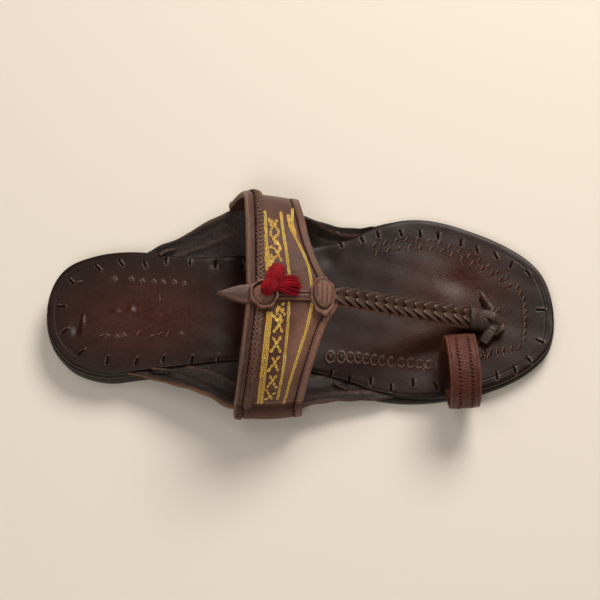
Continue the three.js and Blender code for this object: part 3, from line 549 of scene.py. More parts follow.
    def arch_paths(self, xs: Array, places: Array) -> Array:
        """Cross-sections of the arch, evenly spaced round the foot.

        Args:
            xs: Places along the foot, one for each section.
            places: Shares of the way from the medial crease to the lateral one.

        Returns:
            An array of sections by places by (y, z).
        """
        ends = self.arch_ends(xs)
        angle = np.linspace(0, math.pi / 2, 90)[None, :]
        halves = []
        for side, power in (("near", np.full_like(xs, self.medial_roundness)), ("far", ends["far_power"])):
            reach = np.cos(angle) ** (2 / power[:, None])
            rise = np.sin(angle) ** (2 / power[:, None])
            y = mix(self.crown_y, ends[side + "_y"][:, None], reach)
            z = mix(ends[side + "_z"][:, None], ends["crown"][:, None], rise)
            halves.append(np.stack([y, z], axis=-1))
        whole = np.concatenate([halves[0], halves[1][:, -2::-1]], axis=1)
        sections = []
        for section in whole:
            lengths = np.concatenate([[0], np.cumsum(np.linalg.norm(np.diff(section, axis=0), axis=1))])
            at = places * lengths[-1]
            sections.append(np.stack([np.interp(at, lengths, section[:, k]) for k in (0, 1)], axis=-1))
        return np.array(sections)

    def thong_path(self, count: int) -> Array:
        """Middle line of the thong from under the band to the foot of the post.

        Args:
            count: How many points to return.

        Returns:
            The points.
        """
        start_x = self.crown_front[0] - self.thong_tuck
        edge_x = self.crown_front[0] + 0.5 * self.thong_wall
        start, _ = self.on_arch(start_x, self.centre_line(start_x), -self.wall / 2)
        edge, _ = self.on_arch(edge_x, self.centre_line(edge_x), -self.wall / 2 - 0.1 * self.thong_wall)
        sleeve_end = self.post_x - self.sleeve_to_post
        sleeve_x = sleeve_end - self.sleeve_length
        sleeve = np.array([sleeve_x, self.thong_end_y, self.insole_bottom(sleeve_x) + self.thong_end_lift])
        middle = (edge + sleeve) / 2 - np.array([0, 0, 1.2])
        floor = float(self.insole_bottom(self.post_x))
        rest = [(sleeve_end - 0.15 * self.sleeve_length, self.thong_end_y, floor + 7.4),
                (self.post_x, self.thong_end_y, floor + 3.4),
                (self.post_x, self.thong_end_y, floor + self.gap)]
        return smooth_path([start, edge, middle, sleeve, *rest], count)


@dataclass(frozen=True)
class Viewpoint:
    """The photograph's camera, in the row frame, and what a picture point looks at."""

    elevation: float = 68
    distance: float = 900
    focal_points: float = 1627
    centre: tuple[float, float] = (301, 322.6)
    picture: int = 600
    sensor: float = 36

    def axes(self) -> tuple[Array, Array, Array, Array]:
        """The camera's place and its right, up and forward directions.

        Returns:
            Four vectors.
        """
        tilt = math.radians(self.elevation)
        forward = np.array([0, math.cos(tilt), -math.sin(tilt)])
        up = np.array([0, math.sin(tilt), math.cos(tilt)])
        return -forward * self.distance, np.array([1.0, 0, 0]), up, forward

    def rays(self, points: Rows) -> tuple[Array, Array]:
        """The camera's place and the direction through each picture point.

        Args:
            points: Picture points.

        Returns:
            The place, and a direction for each point.
        """
        eye, right, up, forward = self.axes()
        p = np.array(points, float)[:, :2]
        across = (p[:, :1] - self.centre[0]) / self.focal_points
        down = (p[:, 1:] - self.centre[1]) / self.focal_points
        return eye, forward + across * right - down * up

    def meet(self, points: Rows, height: Callable[[Array, Array], Array], shift: float) -> Array:
        """Where the rays through picture points first meet a surface.

        Args:
            points: Picture points.
            height: Height of the surface over a place of the pattern.
            shift: How far the row frame lies from the pattern along Y.

        Returns:
            Points of the surface, in the pattern's millimetres.
        """
        eye, ways = self.rays(points)
        eye = eye - np.array([0, shift, 0])
        near = (90 - eye[2]) / ways[:, 2]
        far = (2 - eye[2]) / ways[:, 2]
        shares = np.linspace(0, 1, 700)
        reach = near[:, None] + (far - near)[:, None] * shares
        at = eye + reach[..., None] * ways[:, None, :]
        below = at[..., 2] <= height(at[..., 0], at[..., 1])
        first = np.maximum(below.argmax(axis=1), 1)
        rows = np.arange(len(ways))
        low, high = reach[rows, first - 1], reach[rows, first]
        for _ in range(20):
            middle = (low + high) / 2
            point = eye + middle[:, None] * ways
            under = point[:, 2] <= height(point[:, 0], point[:, 1])
            high = np.where(under, middle, high)
            low = np.where(under, low, middle)
        return eye + high[:, None] * ways

    def make_camera(self) -> Thing:
        """Makes the scene's camera at the photograph's viewing angle.

        Returns:
            The camera.
        """
        data = bpy.data.cameras.new("photo_view")
        data.sensor_width = self.sensor
        data.lens = self.focal_points * self.sensor / self.picture
        data.shift_x = (self.picture / 2 - self.centre[0]) / self.picture
        data.shift_y = (self.centre[1] - self.picture / 2) / self.picture
        data.clip_start = 0.05
        camera = linked("photo_view", data)
        eye, _, _, forward = self.axes()
        camera.location = Vector(eye * MM)
        camera.rotation_euler = Vector(forward).to_track_quat("-Z", "Y").to_euler()
        bpy.context.scene.camera = camera
        return camera


class Nodes:
    """A node tree with short ways to add and join its nodes."""

    def __init__(self, tree: bpy.types.NodeTree) -> None:
        """Keeps the tree that nodes are added to."""
        self.tree = tree

    def add(self, kind: str, inputs: dict | None = None, **settings: object) -> bpy.types.Node:
        """Adds a node.

        Args:
            kind: The node's type.
            inputs: Values or sockets for its inputs, by name or number.
            settings: Values for its properties.

        Returns:
            The node.
        """
        node = self.tree.nodes.new(kind)
        for name, value in settings.items():
            setattr(node, name, value)
        self.fill(node, inputs or {})
        return node

    def fill(self, node: bpy.types.Node, inputs: dict) -> None:
        """Joins or sets some inputs of a node.

        Args:
            node: The node.
            inputs: Values or sockets for its inputs, by name or number.
        """
        for name, value in inputs.items():
            if isinstance(value, Socket):
                self.tree.links.new(value, node.inputs[name])
            else:
                node.inputs[name].default_value = value

    def ramp(self, value: Socket, stops: Sequence[tuple]) -> Socket:
        """Adds a colour ramp.

        Args:
            value: The socket that it reads.
            stops: Places and colours of its stops.

        Returns:
            Its colour socket.
        """
        node = self.add("ShaderNodeValToRGB", {0: value})
        elements = node.color_ramp.elements
        while len(elements) < len(stops):
            elements.new(0.5)
        for element, (place, colour) in zip(elements, stops):
            element.position = place
            element.color = (*colour, 1)
        return node.outputs["Color"]

    def blend(self, share: object, a: object, b: object, way: str = "MIX") -> Socket:
        """Adds a colour mix and returns its result socket."""
        node = self.add("ShaderNodeMix", {0: share, 6: a, 7: b}, data_type="RGBA", blend_type=way)
        return node.outputs[2]

    def maths(self, way: str, *values: object) -> Socket:
        """Adds a maths node and returns its result socket."""
        node = self.add("ShaderNodeMath", dict(enumerate(values)), operation=way)
        return node.outputs[0]

    def mark(self, name: str) -> Socket:
        """Adds a node that reads a value of the points and returns its socket."""
        return self.add("ShaderNodeAttribute", attribute_name=name).outputs["Fac"]

    def noise(self, place: object, scale: float, detail: float = 3, rough: float = 0.5) -> Socket:
        """Adds a noise texture and returns its value socket."""
        return self.add("ShaderNodeTexNoise", {"Vector": place, "Scale": scale, "Detail": detail,
                                               "Roughness": rough}).outputs[0]


def linked(name: str, data: bpy.types.ID | None) -> Thing:
    """Makes an object and links it into the scene.

    Args:
        name: The object's name.
        data: Its mesh, lamp or camera.

    Returns:
        The object.
    """
    thing = bpy.data.objects.new(name, data)
    bpy.context.scene.collection.objects.link(thing)
    return thing


def mesh_object(name: str, places: Array, faces: Sequence, edges: Sequence = (),
                marks: dict[str, Array] | None = None) -> Thing:
    """Makes an object from points in metres.

    Args:
        name: The object's name.
        places: Its points.
        faces: Its faces.
        edges: Its loose edges.
        marks: Values or vectors for each point, by name.

    Returns:
        The object, linked into the scene.
    """
    mesh = bpy.data.meshes.new(name)
    mesh.from_pydata(places.tolist(), list(edges), list(faces))
    for mark, values in (marks or {}).items():
        values = np.asarray(values, np.float32)
        kind, key = ("FLOAT", "value") if values.size == len(places) else ("FLOAT_VECTOR", "vector")
        mesh.attributes.new(mark, kind, "POINT").data.foreach_set(key, values.ravel())
    mesh.validate()
    return linked(name, mesh)


def srgb(code: str) -> tuple[float, float, float]:
    """Linear colour of a six-digit colour code."""
    parts = [int(code[i : i + 2], 16) / 255 for i in (0, 2, 4)]
    return tuple(c / 12.92 if c <= 0.04045 else ((c + 0.055) / 1.055) ** 2.4 for c in parts)


def principled(name: str) -> tuple[Material, Nodes, bpy.types.Node]:
    """A new material, its nodes and its shader.

    Args:
        name: The material's name.

    Returns:
        All three.
    """
    material = bpy.data.materials.new(name)
    material.use_nodes = True
    return material, Nodes(material.node_tree), material.node_tree.nodes["Principled BSDF"]


@dataclass(frozen=True)
class LeatherFinish:
    """Dyed, burnished leather with pores, mottling, rubbed places and bare cut edges, plus the painted
    highlights and painted shade that the marks of each piece lay on.
    """

    name: str
    dark: str
    base: str
    worn_and_highlight: str
    raw: str = "8a5a3c"
    roughness: float = 0.4
    roughness_spread: float = 0.16
    gloss: float = 0.26
    grain_scale: float = 900
    grain: float = 0.25
    crease: float = 0.2
    coat: float = 0.04
    mottle_scale: float = 55

    def make(self) -> Material:
        """Makes the material.

        Returns:
            The material.
        """
        material, tree, shader = principled(self.name)
        place = tree.add("ShaderNodeTexCoord").outputs["Object"]
        wear, shade, raw = (tree.mark(name) for name in ("wear", "shade", "raw"))
        patches = tree.noise(place, self.mottle_scale, 5, 0.6)
        streaks = tree.noise(place, self.mottle_scale * 7, 4, 0.65)
        cells = tree.add("ShaderNodeTexVoronoi", {"Vector": place, "Scale": self.grain_scale},
                         feature="DISTANCE_TO_EDGE").outputs["Distance"]
        fine = tree.noise(place, self.grain_scale * 1.7, 3, 0.6)
        colour = tree.ramp(patches, ((0.3, srgb(self.dark)), (0.7, srgb(self.base))))
        streaked = tree.maths("MULTIPLY", tree.maths("SUBTRACT", streaks, 0.42), 1.6)
        # Rubbed places and painted highlights blend towards the lightest tone.
        worn_and_highlight = tree.maths("MULTIPLY", wear, tree.maths("ADD", 0.55, streaked))
        colour = tree.blend(tree.maths("MINIMUM", tree.maths("MAXIMUM", worn_and_highlight, 0.0), 1.0), colour,
                            (*srgb(self.worn_and_highlight), 1))
        # The shade mark blends towards that near-black brown, mostly as painted shade.
        colour = tree.blend(tree.maths("MULTIPLY", shade, 0.85), colour, (*srgb(SHADE_COLOUR), 1))
        pores = tree.ramp(cells, ((0.0, (0.62, 0.62, 0.62)), (0.12, (1, 1, 1))))
        colour = tree.blend(0.35, colour, pores, "MULTIPLY")
        fibre = tree.ramp(fine, ((0.3, tuple(0.55 * c for c in srgb(self.raw))), (0.7, srgb(self.raw))))
        # The fibre tone shows on bare cut edges, and as painted highlights on the footbed's pressed ridges.
        colour = tree.blend(raw, colour, fibre)
        self._surface(tree, shader, (patches, streaks, cells, fine), (wear, raw))
        tree.fill(shader, {"Base Color": colour})
        return material

    def _surface(self, tree: Nodes, shader: bpy.types.Node, textures: tuple, marks: tuple) -> None:
        """Joins the roughness and the bump of the leather to the shader.

        Args:
            tree: The tree to add nodes to.
            shader: The shader.
            textures: Sockets of the patches, streaks, cells and fibres.
            marks: Sockets of the mark of rubbing and painted highlights, and of the cut-edge fibre mark,
                which also carries the footbed's painted ridge highlights.
        """
        patches, streaks, cells, fine = textures
        wear, raw = marks
        uneven = tree.maths("MULTIPLY", tree.maths("SUBTRACT", patches, 0.5), self.roughness_spread * 2)
        streaky = tree.maths("MULTIPLY", tree.maths("SUBTRACT", streaks, 0.5), self.roughness_spread)
        rough = tree.maths("ADD", tree.maths("ADD", uneven, self.roughness), streaky)
        rough = tree.maths("ADD", rough, tree.maths("MULTIPLY", raw, 0.4))
        rough = tree.maths("SUBTRACT", rough, tree.maths("MULTIPLY", wear, 0.06))
        pore = tree.maths("MINIMUM", tree.maths("MULTIPLY", cells, 6.0), 1.0)
        height = tree.maths("ADD", tree.maths("MULTIPLY", pore, self.grain),
                            tree.maths("MULTIPLY", streaks, self.crease))
        height = tree.maths("ADD", height, tree.maths("MULTIPLY", fine, 0.3 * self.grain))
        relief = tree.add("ShaderNodeBump", {"Height": height, "Strength": 0.7, "Distance": 0.0005})
        tree.fill(shader, {"Roughness": rough, "Coat Weight": self.coat, "Coat Roughness": 0.3,
                           "Specular IOR Level": self.gloss, "Normal": relief.outputs[0]})


@dataclass(frozen=True)
class ThreadFinish:
    """Twisted thread: fine fibres, a sheen, a little colour variation and painted shade at the roots of the
    chain links.
    """

    name: str
    shadow: str
    light: str
    roughness: float = 0.6
    sheen: float = 0.3
    fibre_scale: float = 2600

    def make(self) -> Material:
        """Makes the material.

        Returns:
            The material.
        """
        material, tree, shader = principled(self.name)
        place = tree.add("ShaderNodeTexCoord").outputs["Object"]
        fibres = tree.noise(place, self.fibre_scale, 2, 0.5)
        patches = tree.noise(place, 260, 3, 0.5)
        tone = tree.maths("ADD", tree.maths("MULTIPLY", fibres, 0.6), tree.maths("MULTIPLY", patches, 0.4))
        colour = tree.ramp(tone, ((0.32, srgb(self.shadow)), (0.62, srgb(self.light))))
        # The shade mark darkens the thread: painted shade at the roots of the chain links, and a random
        # darker tone on some tassel strands.
        shade = tree.mark("shade")
        deep = (*(0.2 * c for c in srgb(self.shadow)), 1)
        colour = tree.blend(tree.maths("MULTIPLY", shade, 0.7), colour, deep)
        relief = tree.add("ShaderNodeBump", {"Height": fibres, "Strength": 0.4, "Distance": 0.0002})
        tree.fill(shader, {"Base Color": colour, "Roughness": self.roughness, "Sheen Weight": self.sheen,
                           "Specular IOR Level": 0.2, "Normal": relief.outputs[0]})
        return material


@dataclass(frozen=True)
class StageFinish:
    """Plain matt surface of the floor."""

    name: str
    colour: str

    def make(self) -> Material:
        """Makes the material.

        Returns:
            The material.
        """
        material, tree, shader = principled(self.name)
        tree.fill(shader, {"Base Color": (*srgb(self.colour), 1), "Roughness": 0.85})
        return material


# The lightest tone of each finish is what rubbed places and painted highlights blend to. The footbed's fibre
# tone is the pale colour of its painted ridge highlights, and the edge plait's pale tone is for its strands'
# painted highlights.
FOOTBED = LeatherFinish("footbed_leather", "170c08", "27130d", "4c1f13", raw="b48c74", roughness=0.36,
                        grain=0.05, crease=0.1, grain_scale=700, gloss=0.18)
STRAP = LeatherFinish("strap_leather", "4a2a1f", "6c3f2e", "a87a64", roughness=0.4, grain=0.6,
                      grain_scale=1300, mottle_scale=110, gloss=0.45)
PLAIT = LeatherFinish("plait_leather", "35231b", "4e362b", "a48370", roughness=0.36, grain=0.15,
                      mottle_scale=140, gloss=0.34)
EDGE = LeatherFinish("edge_leather", "442619", "6a3f2e", "cba083", roughness=0.38, gloss=0.4)
LOOP = LeatherFinish("loop_leather", "42190e", "632e1f", "8f5640", roughness=0.42, grain=0.3)
SOLE = LeatherFinish("sole_leather", "170d08", "26170f", "3c2619", roughness=0.5, grain=0.2, crease=0.4)
KNOT = LeatherFinish("knot_leather", "221713", "3e2d25", "6a5044", roughness=0.38, grain=0.2, gloss=0.34)
EAR = LeatherFinish("ear_leather", "1a0e09", "2c1a12", "5a3a2a", raw="8a6044", roughness=0.4, crease=0.9,
                    gloss=0.3)
LACE = LeatherFinish("lace_leather", "050302", "0c0705", "181009", roughness=0.7, gloss=0.1)
GOLD = ThreadFinish("gold_thread", "f0a626", "ffe680", roughness=0.4, sheen=0.1)
CRIMSON = ThreadFinish("crimson_thread", "5a000e", "ba001c", roughness=0.75, sheen=0.03)
FLOOR = StageFinish("pale_floor", "e9dfd2")


class Workshop:
    """Turns points in the pattern's millimetres into finished pieces in the row frame."""

    def __init__(self, form: SandalForm, view: Viewpoint) -> None:
        """Keeps the form and finds how far the row frame lies from the pattern.

        Args:
            form: The forms that the pieces follow.
            view: The photograph's camera.
        """
        self.form = form
        self.view = view
        xs = np.linspace(-form.half, form.half, 600)
        low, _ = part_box("outsole")
        self.shift = low.y / MM - float(form.edge(xs, Side.MEDIAL).min())
        self.materials: dict[str, Material] = {}

    def material(self, finish: LeatherFinish | ThreadFinish | StageFinish) -> Material:
        """The material of a finish, made once.

        Args:
            finish: The finish.

        Returns:
            The material.
        """
        if finish.name not in self.materials:
            self.materials[finish.name] = finish.make()
        return self.materials[finish.name]

    def raw_object(self, name: str, points: Array, faces: Sequence, edges: Sequence = (),
                   marks: dict[str, Array] | None = None) -> Thing:
        """Makes an object in the row frame from points of the pattern.

        Args:
            name: The object's name.
            points: Its points in the pattern's millimetres.
            faces: Its faces.
            edges: Its loose edges.
            marks: Values or vectors for each point, by name.

        Returns:
            The object, linked into the scene.
        """
        places = np.asarray(points, float).reshape(-1, 3) + np.array([0, self.shift, 0])
        return mesh_object(name, places * MM, faces, edges, marks)

    def finish(self, thing: Thing, finish: LeatherFinish | ThreadFinish, slot: Slot,
               replaces: Sequence[str] = (), merge: float = 1e-7, smooth: float = 40) -> Thing:
        """Closes a piece's mesh, gives it its material and puts it on the body.

        Args:
            thing: The piece.
            finish: Its finish.
            slot: The record's slot that the finish stands for; not used.
            replaces: The CAD nodes that it stands for.
            merge: Distance within which its points are joined, in metres.
            smooth: Angle in degrees above which an edge is sharp.

        Returns:
            The piece.
        """
        mesh = thing.data
        work = bmesh.new()
        work.from_mesh(mesh)
        if merge:
            bmesh.ops.remove_doubles(work, verts=work.verts, dist=merge)
            bmesh.ops.dissolve_degenerate(work, edges=work.edges, dist=1e-8)
        bmesh.ops.recalc_face_normals(work, faces=work.faces)
        work.to_mesh(mesh)
        work.free()
        mesh.polygons.foreach_set("use_smooth", [True] * len(mesh.polygons))
        mesh.set_sharp_from_angle(angle=math.radians(smooth))
        mesh.materials.clear()
        mesh.materials.append(self.material(finish))
        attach(thing, BODY)
        if replaces:
            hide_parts(*replaces)
        log.info("%s: %d points, %d faces", thing.name, len(mesh.vertices), len(mesh.polygons))
        return thing

    def loft(self, name: str, rings: Array, marks: dict[str, Array], finish: LeatherFinish, slot: Slot,
             replaces: Sequence[str] = (), capped: bool = True, merge: float = 1e-7) -> Thing:
        """Makes a finished piece through rings of points.

        Args:
            name: The piece's name.
            rings: Its rings of points in the pattern's millimetres.
            marks: Values for each point, by name. A mark that is left out is 0.
            finish: Its finish.
            slot: The record's slot that the finish stands for.
            replaces: The CAD nodes that it stands for.
            capped: Whether both ends are closed.
            merge: Distance within which its points are joined, in metres.

        Returns:
            The piece.
        """
        thing = self.raw_object(name, rings, loft_faces(len(rings), rings.shape[1], capped), marks=marks)
        return self.finish(thing, finish, slot, replaces, merge)

    def on_footbed(self, chart: Rows) -> Array:
        """Points of the plain footbed behind the picture points of a chart."""
        return self.view.meet(chart, self.form.insole_top, self.shift)

    def on_band(self, chart: Rows, height: float = 0) -> tuple[Array, Array]:
        """Points on the band behind the picture points of a chart, and the normals there.

        Args:
            chart: Picture points.
            height: Height over the outer face.

        Returns:
            The points and the normals.
        """
        lift = self.form.wall / 2

        def outer(x: Array, y: Array) -> Array:
            """Height of the band's outer face, straight above its middle surface."""
            return self.form.arch_height(x, y) + lift

        met = self.view.meet(chart, outer, self.shift)
        return self.form.on_arch(met[:, 0], met[:, 1], height)


def loft_faces(rings: int, count: int, capped: bool = True) -> list:
    """Faces of a closed body through rings of points.

    Args:
        rings: How many rings there are.
        count: How many points each ring has.
        capped: Whether both ends are closed.

    Returns:
        The faces.
    """
    i, j = np.meshgrid(np.arange(rings - 1), np.arange(count), indexing="ij")
    a = i * count + j
    b = i * count + (j + 1) % count
    faces = np.stack([a, b, b + count, a + count], axis=-1).reshape(-1, 4).tolist()
    if capped:
        faces.append(list(range(count))[::-1])
        faces.append(list(range((rings - 1) * count, rings * count)))
    return faces


def joined(bodies: Sequence[tuple[Array, list]]) -> tuple[Array, list]:
    """Several bodies as one.

    Args:
        bodies: The points and the faces of each body.

    Returns:
        All their points and faces.
    """
    points, faces, start = [], [], 0
    for body, body_faces in bodies:
        points.append(np.asarray(body).reshape(-1, 3))
        faces.extend([[start + v for v in face] for face in body_faces])
        start += len(points[-1])
    return np.concatenate(points), faces


def rounded(inset: Array, radius: float) -> Array:
    """How far a rounded edge has dropped at an inset from it."""
    d = np.clip(inset, 0, radius)
    return radius - np.sqrt(np.maximum(radius**2 - (radius - d) ** 2, 0))


@dataclass
class SoleLeather:
    """A layer of the sole, meshed in rings that follow its outline."""

    shop: Workshop
    name: str
    node: str
    edge: Callable[[Array, Side], Array]
    span: tuple[float, float]
    top: Callable[[Array, Array], Array]
    bottom: Callable[[Array, Array], Array]
    spacing: float = 1.2
    insets: Sequence[float] = (0, 0.12, 0.35, 0.8, 2, 5, 10, 18)
    inner_rings: int = 5
    round_edge: float = 0.8
    cap_length: float = 42
    slot: Slot = Slot.SOLE
    finish: LeatherFinish = SOLE

    def outline(self) -> tuple[Array, Array]:
        """The outline's points in order, and the place on the spine that each looks to.

        Returns:
            Two arrays of places, a row for each point of the outline.
        """
        start, end = self.span
        rear, front = start + self.cap_length, end - self.cap_length
        xs = np.linspace(rear, front, max(int((front - rear) / self.spacing), 2))
        t = np.linspace(0, math.pi, 900)
        all_x = mix(start, end, (1 - np.cos(t)) / 2)
        sides, middles = {}, (self.edge(xs, Side.LATERAL) + self.edge(xs, Side.MEDIAL)) / 2
        for side in Side:
            sides[side] = np.stack([xs, self.edge(xs, side)], axis=1)
        spine = np.stack([xs, middles], axis=1)
        rim = np.concatenate([np.stack([all_x, self.edge(all_x, Side.LATERAL)], 1),
                              np.stack([all_x, self.edge(all_x, Side.MEDIAL)], 1)[::-1]])
        caps = []
        for pole, way in ((spine[-1], 1), (spine[0], -1)):
            local = (rim - pole) * way
            angle = np.arctan2(local[:, 1], local[:, 0])
            order = np.argsort(angle)
            radius = np.hypot(local[:, 0], local[:, 1])[order]
            count = int(math.pi * self.cap_length / self.spacing)
            rays = np.linspace(math.pi / 2, -math.pi / 2, count + 1)[1:-1]
            reach = np.interp(rays, angle[order], radius)
            caps.append(pole + way * np.stack([np.cos(rays) * reach, np.sin(rays) * reach], 1))
        toe, heel = caps
        points = np.concatenate([sides[Side.LATERAL], toe, sides[Side.MEDIAL][::-1], heel])
        looks = np.concatenate([spine, np.repeat(spine[-1:], len(toe), 0), spine[::-1],
                                np.repeat(spine[:1], len(heel), 0)])
        return points, looks

    def rings(self) -> tuple[Array, Array]:
        """Rings of places from the outline to the spine, and each place's inset.

        Returns:
            Both arrays, a row for each ring.
        """
        points, looks = self.outline()
        run = looks - points
        reach = np.linalg.norm(run, axis=1)
        last = self.insets[-1]
        insets = [np.full(len(points), d) for d in self.insets]
        for k in range(1, self.inner_rings + 1):
            insets.append(mix(last, reach, k / self.inner_rings))
        inset = np.array(insets)
        return points + run * (inset / reach)[..., None], inset

    def marks(self, places: Array, inset: Array, height: Array) -> dict[str, Array]:
        """Marks at each point of the layer: a lighter colour round its rim and down its side wall."""
        side = step(-inset, -0.6, 0)
        return {"wear": 0.3 * side}

    def relief(self, places: Array, inset: Array) -> Array:
        """Height added to the upper face."""
        return 0 * inset

    def build(self) -> Thing:
        """Makes the layer.

        Returns:
            The layer.
        """
        places, inset = self.rings()
        x, y = places[..., 0], places[..., 1]
        top = self.top(x, y) - rounded(inset, self.round_edge) + self.relief(places, inset)
        keep = [0, 1, 2, 3, *range(5, len(self.insets), 3), len(inset) - 1]
        under = places[keep][::-1]
        bottom = self.bottom(under[..., 0], under[..., 1]) + rounded(inset[keep][::-1], self.round_edge)
        walls = []
        for share in (0.25, 0.5, 0.75):
            z = mix(self.bottom(x[0], y[0]) + self.round_edge, top[0], share)
            walls.append(np.concatenate([places[0], z[:, None]], axis=1))
        upper = np.concatenate([places, top[..., None]], axis=-1)[::-1]
        lower = np.concatenate([under, bottom[..., None]], axis=-1)[::-1]
        stack = np.concatenate([upper, np.array(walls)[::-1], lower])
        depth = np.concatenate([inset[::-1].ravel(), np.zeros(3 * len(places[0])),
                                np.full(lower[..., 0].size, 9.0)])
        marks = self.marks(stack[..., :2].reshape(-1, 2), depth, stack[..., 2].ravel())
        return self.shop.loft(self.name, stack, marks, self.finish, self.slot, [self.node], capped=False)


@dataclass
class Footbed(SoleLeather):
    """The insole with its slits, stamped marks, scored rim line and worn hollows."""

    slit_length: float = 4.6
    slit_depth: float = 1.1
    slit_width: float = 0.38
    crescent_height: float = 0.36
    open_below: float = 5
    stamp_length: float = 3.4
    stamp_depth: float = 0.35

    WORN = ((-84, -6, 46, 24, 0.9), (84, 12, 30, 26, 0.95), (66, -26, 40, 20, 0.5))

    def chart(self, rows: Rows) -> tuple[Array, Array]:
        """Places of a chart on the leather, and the way that each of its marks points.

        Args:
            rows: Rows of the chart: x, y and angle in the picture.

        Returns:
            Two arrays, a row for each mark.
        """
        here = self.shop.on_footbed(rows)[:, :2]
        turn = np.radians(np.array([row[2] for row in rows], float))
        ahead = [(row[0] + 4 * math.cos(t), row[1] - 4 * math.sin(t)) for row, t in zip(rows, turn)]
        there = self.shop.on_footbed(ahead)[:, :2]
        return here, unit(there - here)

    def sunk(self, x: Array, y: Array, dent: Sequence[float]) -> Array:
        """How far a dent (place in the picture, half length, half width) is felt at each place."""
        centre = self.shop.on_footbed([dent])[0]
        return bump(np.hypot((x - centre[0]) / dent[2], (y - centre[1]) / dent[3]), 1)

    def slits(self) -> tuple[Array, Array]:
        """Places and ways of all the lace slits."""
        return self.chart((*HEEL_SLITS, *FAR_SLITS, *TOE_SLITS))

    def far_stamps(self) -> list[tuple[float, float, float]]:
        """Chart of the double row of dashes that follows the lateral edge round to the toe.

        Returns:
            Rows of x, y and angle in the picture.
        """
        rows = []
        guide = smooth_path([(374, 246), (410, 240), (445, 246), (480, 262), (506, 279)], 14)
        for k, (x, y) in enumerate(guide):
            rows.append((x, y, 50 + 12 * math.sin(2.1 * k)))
            rows.append((x + 3, y + 7.5, 55 + 15 * math.sin(1.7 * k + 1)))
        toe = smooth_path([(517, 288), (523, 300), (525, 318), (524, 340)], 9)
        rows.extend((x, y, 60 + 8 * math.sin(1.3 * k)) for k, (x, y) in enumerate(toe))
        return rows

    def pressed(self, places: Array, centre: Array, way: Array, size: tuple[float, float]) -> tuple:
        """Distances along and across one mark, as shares of its half length and in millimetres.

        Args:
            places: Places on the sole, along and across the foot.
            centre: The mark's centre.
            way: The way that it points.
            size: Its half length and its width.

        Returns:
            Both distances at each place.
        """
        run = places - centre
        along = (run[..., 0] * way[0] + run[..., 1] * way[1]) / size[0]
        across = -run[..., 0] * way[1] + run[..., 1] * way[0]
        return along, across / size[1]

    def relief(self, places: Array, inset: Array) -> Array:
        """Everything that is pressed, scored or worn into the footbed."""
        return self.soft_hollows(places) + self.relief_of(places) + self.rim_line(places, inset)

    def relief_of(self, places: Array) -> Array:
        """Height of the slits, the stamps and the crescents.

        Args:
            places: Places on the sole, along and across the foot.

        Returns:
            The heights.
        """
        height = 0 * places[..., 0]
        for centre, way in zip(*self.slits()):
            along, across = self.pressed(places, centre, way, (self.slit_length / 2, self.slit_width))
            window = step(-np.abs(along), -1.1, -0.75)
            height -= self.slit_depth * window * bump(across, 1)
            height += 0.3 * window * bump(across - 2.2, 1.1)
            height += 0.3 * bump(along - 1.15, 0.25) * bump(across, 2.2)
        stamps = (*HEEL_STAMPS, *HEEL_DOTS, *NEAR_DASHES, *self.far_stamps())
        for number, (centre, way) in enumerate(zip(*self.chart(stamps))):
            arc = number < len(HEEL_STAMPS)
            length = self.stamp_length * (0.7 if arc else 0.62)
            along, across = self.pressed(places, centre, way, (length, 0.4))
            across = across + (1.1 if arc else 0.7) * along**2
            window = step(-np.abs(along), -1.1, -0.3)
            height += window * (0.42 * bump(across - 1.1, 0.75) - self.stamp_depth * bump(across + 0.5, 0.8))
        centres = self.shop.on_footbed(NEAR_CRESCENTS)[:, :2]
        for centre, row in zip(centres, NEAR_CRESCENTS):
            run = places - centre
            far = np.hypot(run[..., 0] * 1.3, run[..., 1] * 0.8)
            turn = np.arctan2(run[..., 1], run[..., 0])
            open_side = step(np.abs(turn), 0.5, 1.1) if row[2] < self.open_below else 1
            out = far - row[2] / 2
            height += open_side * (self.crescent_height * bump(out, 0.4) - 0.3 * bump(out + 0.8, 0.5))
        return height

    def rim_line(self, places: Array, inset: Array) -> Array:
        """The scored line inside the edge at the toe and round the heel.

        Args:
            places: Places on the sole, along and across the foot.
            inset: How far each place lies inside the outline.

        Returns:
            The heights.
        """
        x, y = places[..., 0], places[..., 1]
        toe = step(x, 84, 96) * step(-y, -40, -20)
        heel = step(-x, 105, 116)
        line = bump(inset - 4.7, 0.3) + 0.6 * bump(inset - 3, 0.3) * toe
        return -0.2 * line * np.maximum(toe, heel) - 0.3 * rounded(inset, 3.5)

    def soft_hollows(self, places: Array) -> Array:
        """Broad dents of the heel and the ball, and a slow unevenness of the hide.

        Args:
            places: Places on the sole, along and across the foot.

        Returns:
            The heights.
        """
        x, y = places[..., 0], places[..., 1]
        height = 0.16 * np.sin(x / 9 + 1.3 * np.sin(y / 13)) * np.sin(y / 11 + 0.6)
        height += 0.07 * np.sin(x / 3.7 + y / 5.1) * np.sin(y / 4.3 - x / 7.9)
        for dent in DENTS:
            height -= dent[4] * self.sunk(x, y, dent)
        return height

    def marks(self, places: Array, inset: Array, height: Array) -> dict[str, Array]:
        """Red, rubbed heel and ball, dark rim, painted shade down the slits and in the heel's deep dent, and
        painted highlights on the pressed ridges.

        Args:
            places: Places on the sole, along and across the foot.
            inset: How far each place lies inside the outline.
            height: Height of each point; not used.

        Returns:
            Values for each place, by name.
        """
        x, y = places[..., 0], places[..., 1]
        wear = 0 * x
        for centre_x, centre_y, long, wide, strength in self.WORN:
            wear += strength * bump(np.hypot((x - centre_x) / long, (y - centre_y) / wide), 1)
        shade = 0.35 * step(-inset, -17, -4)
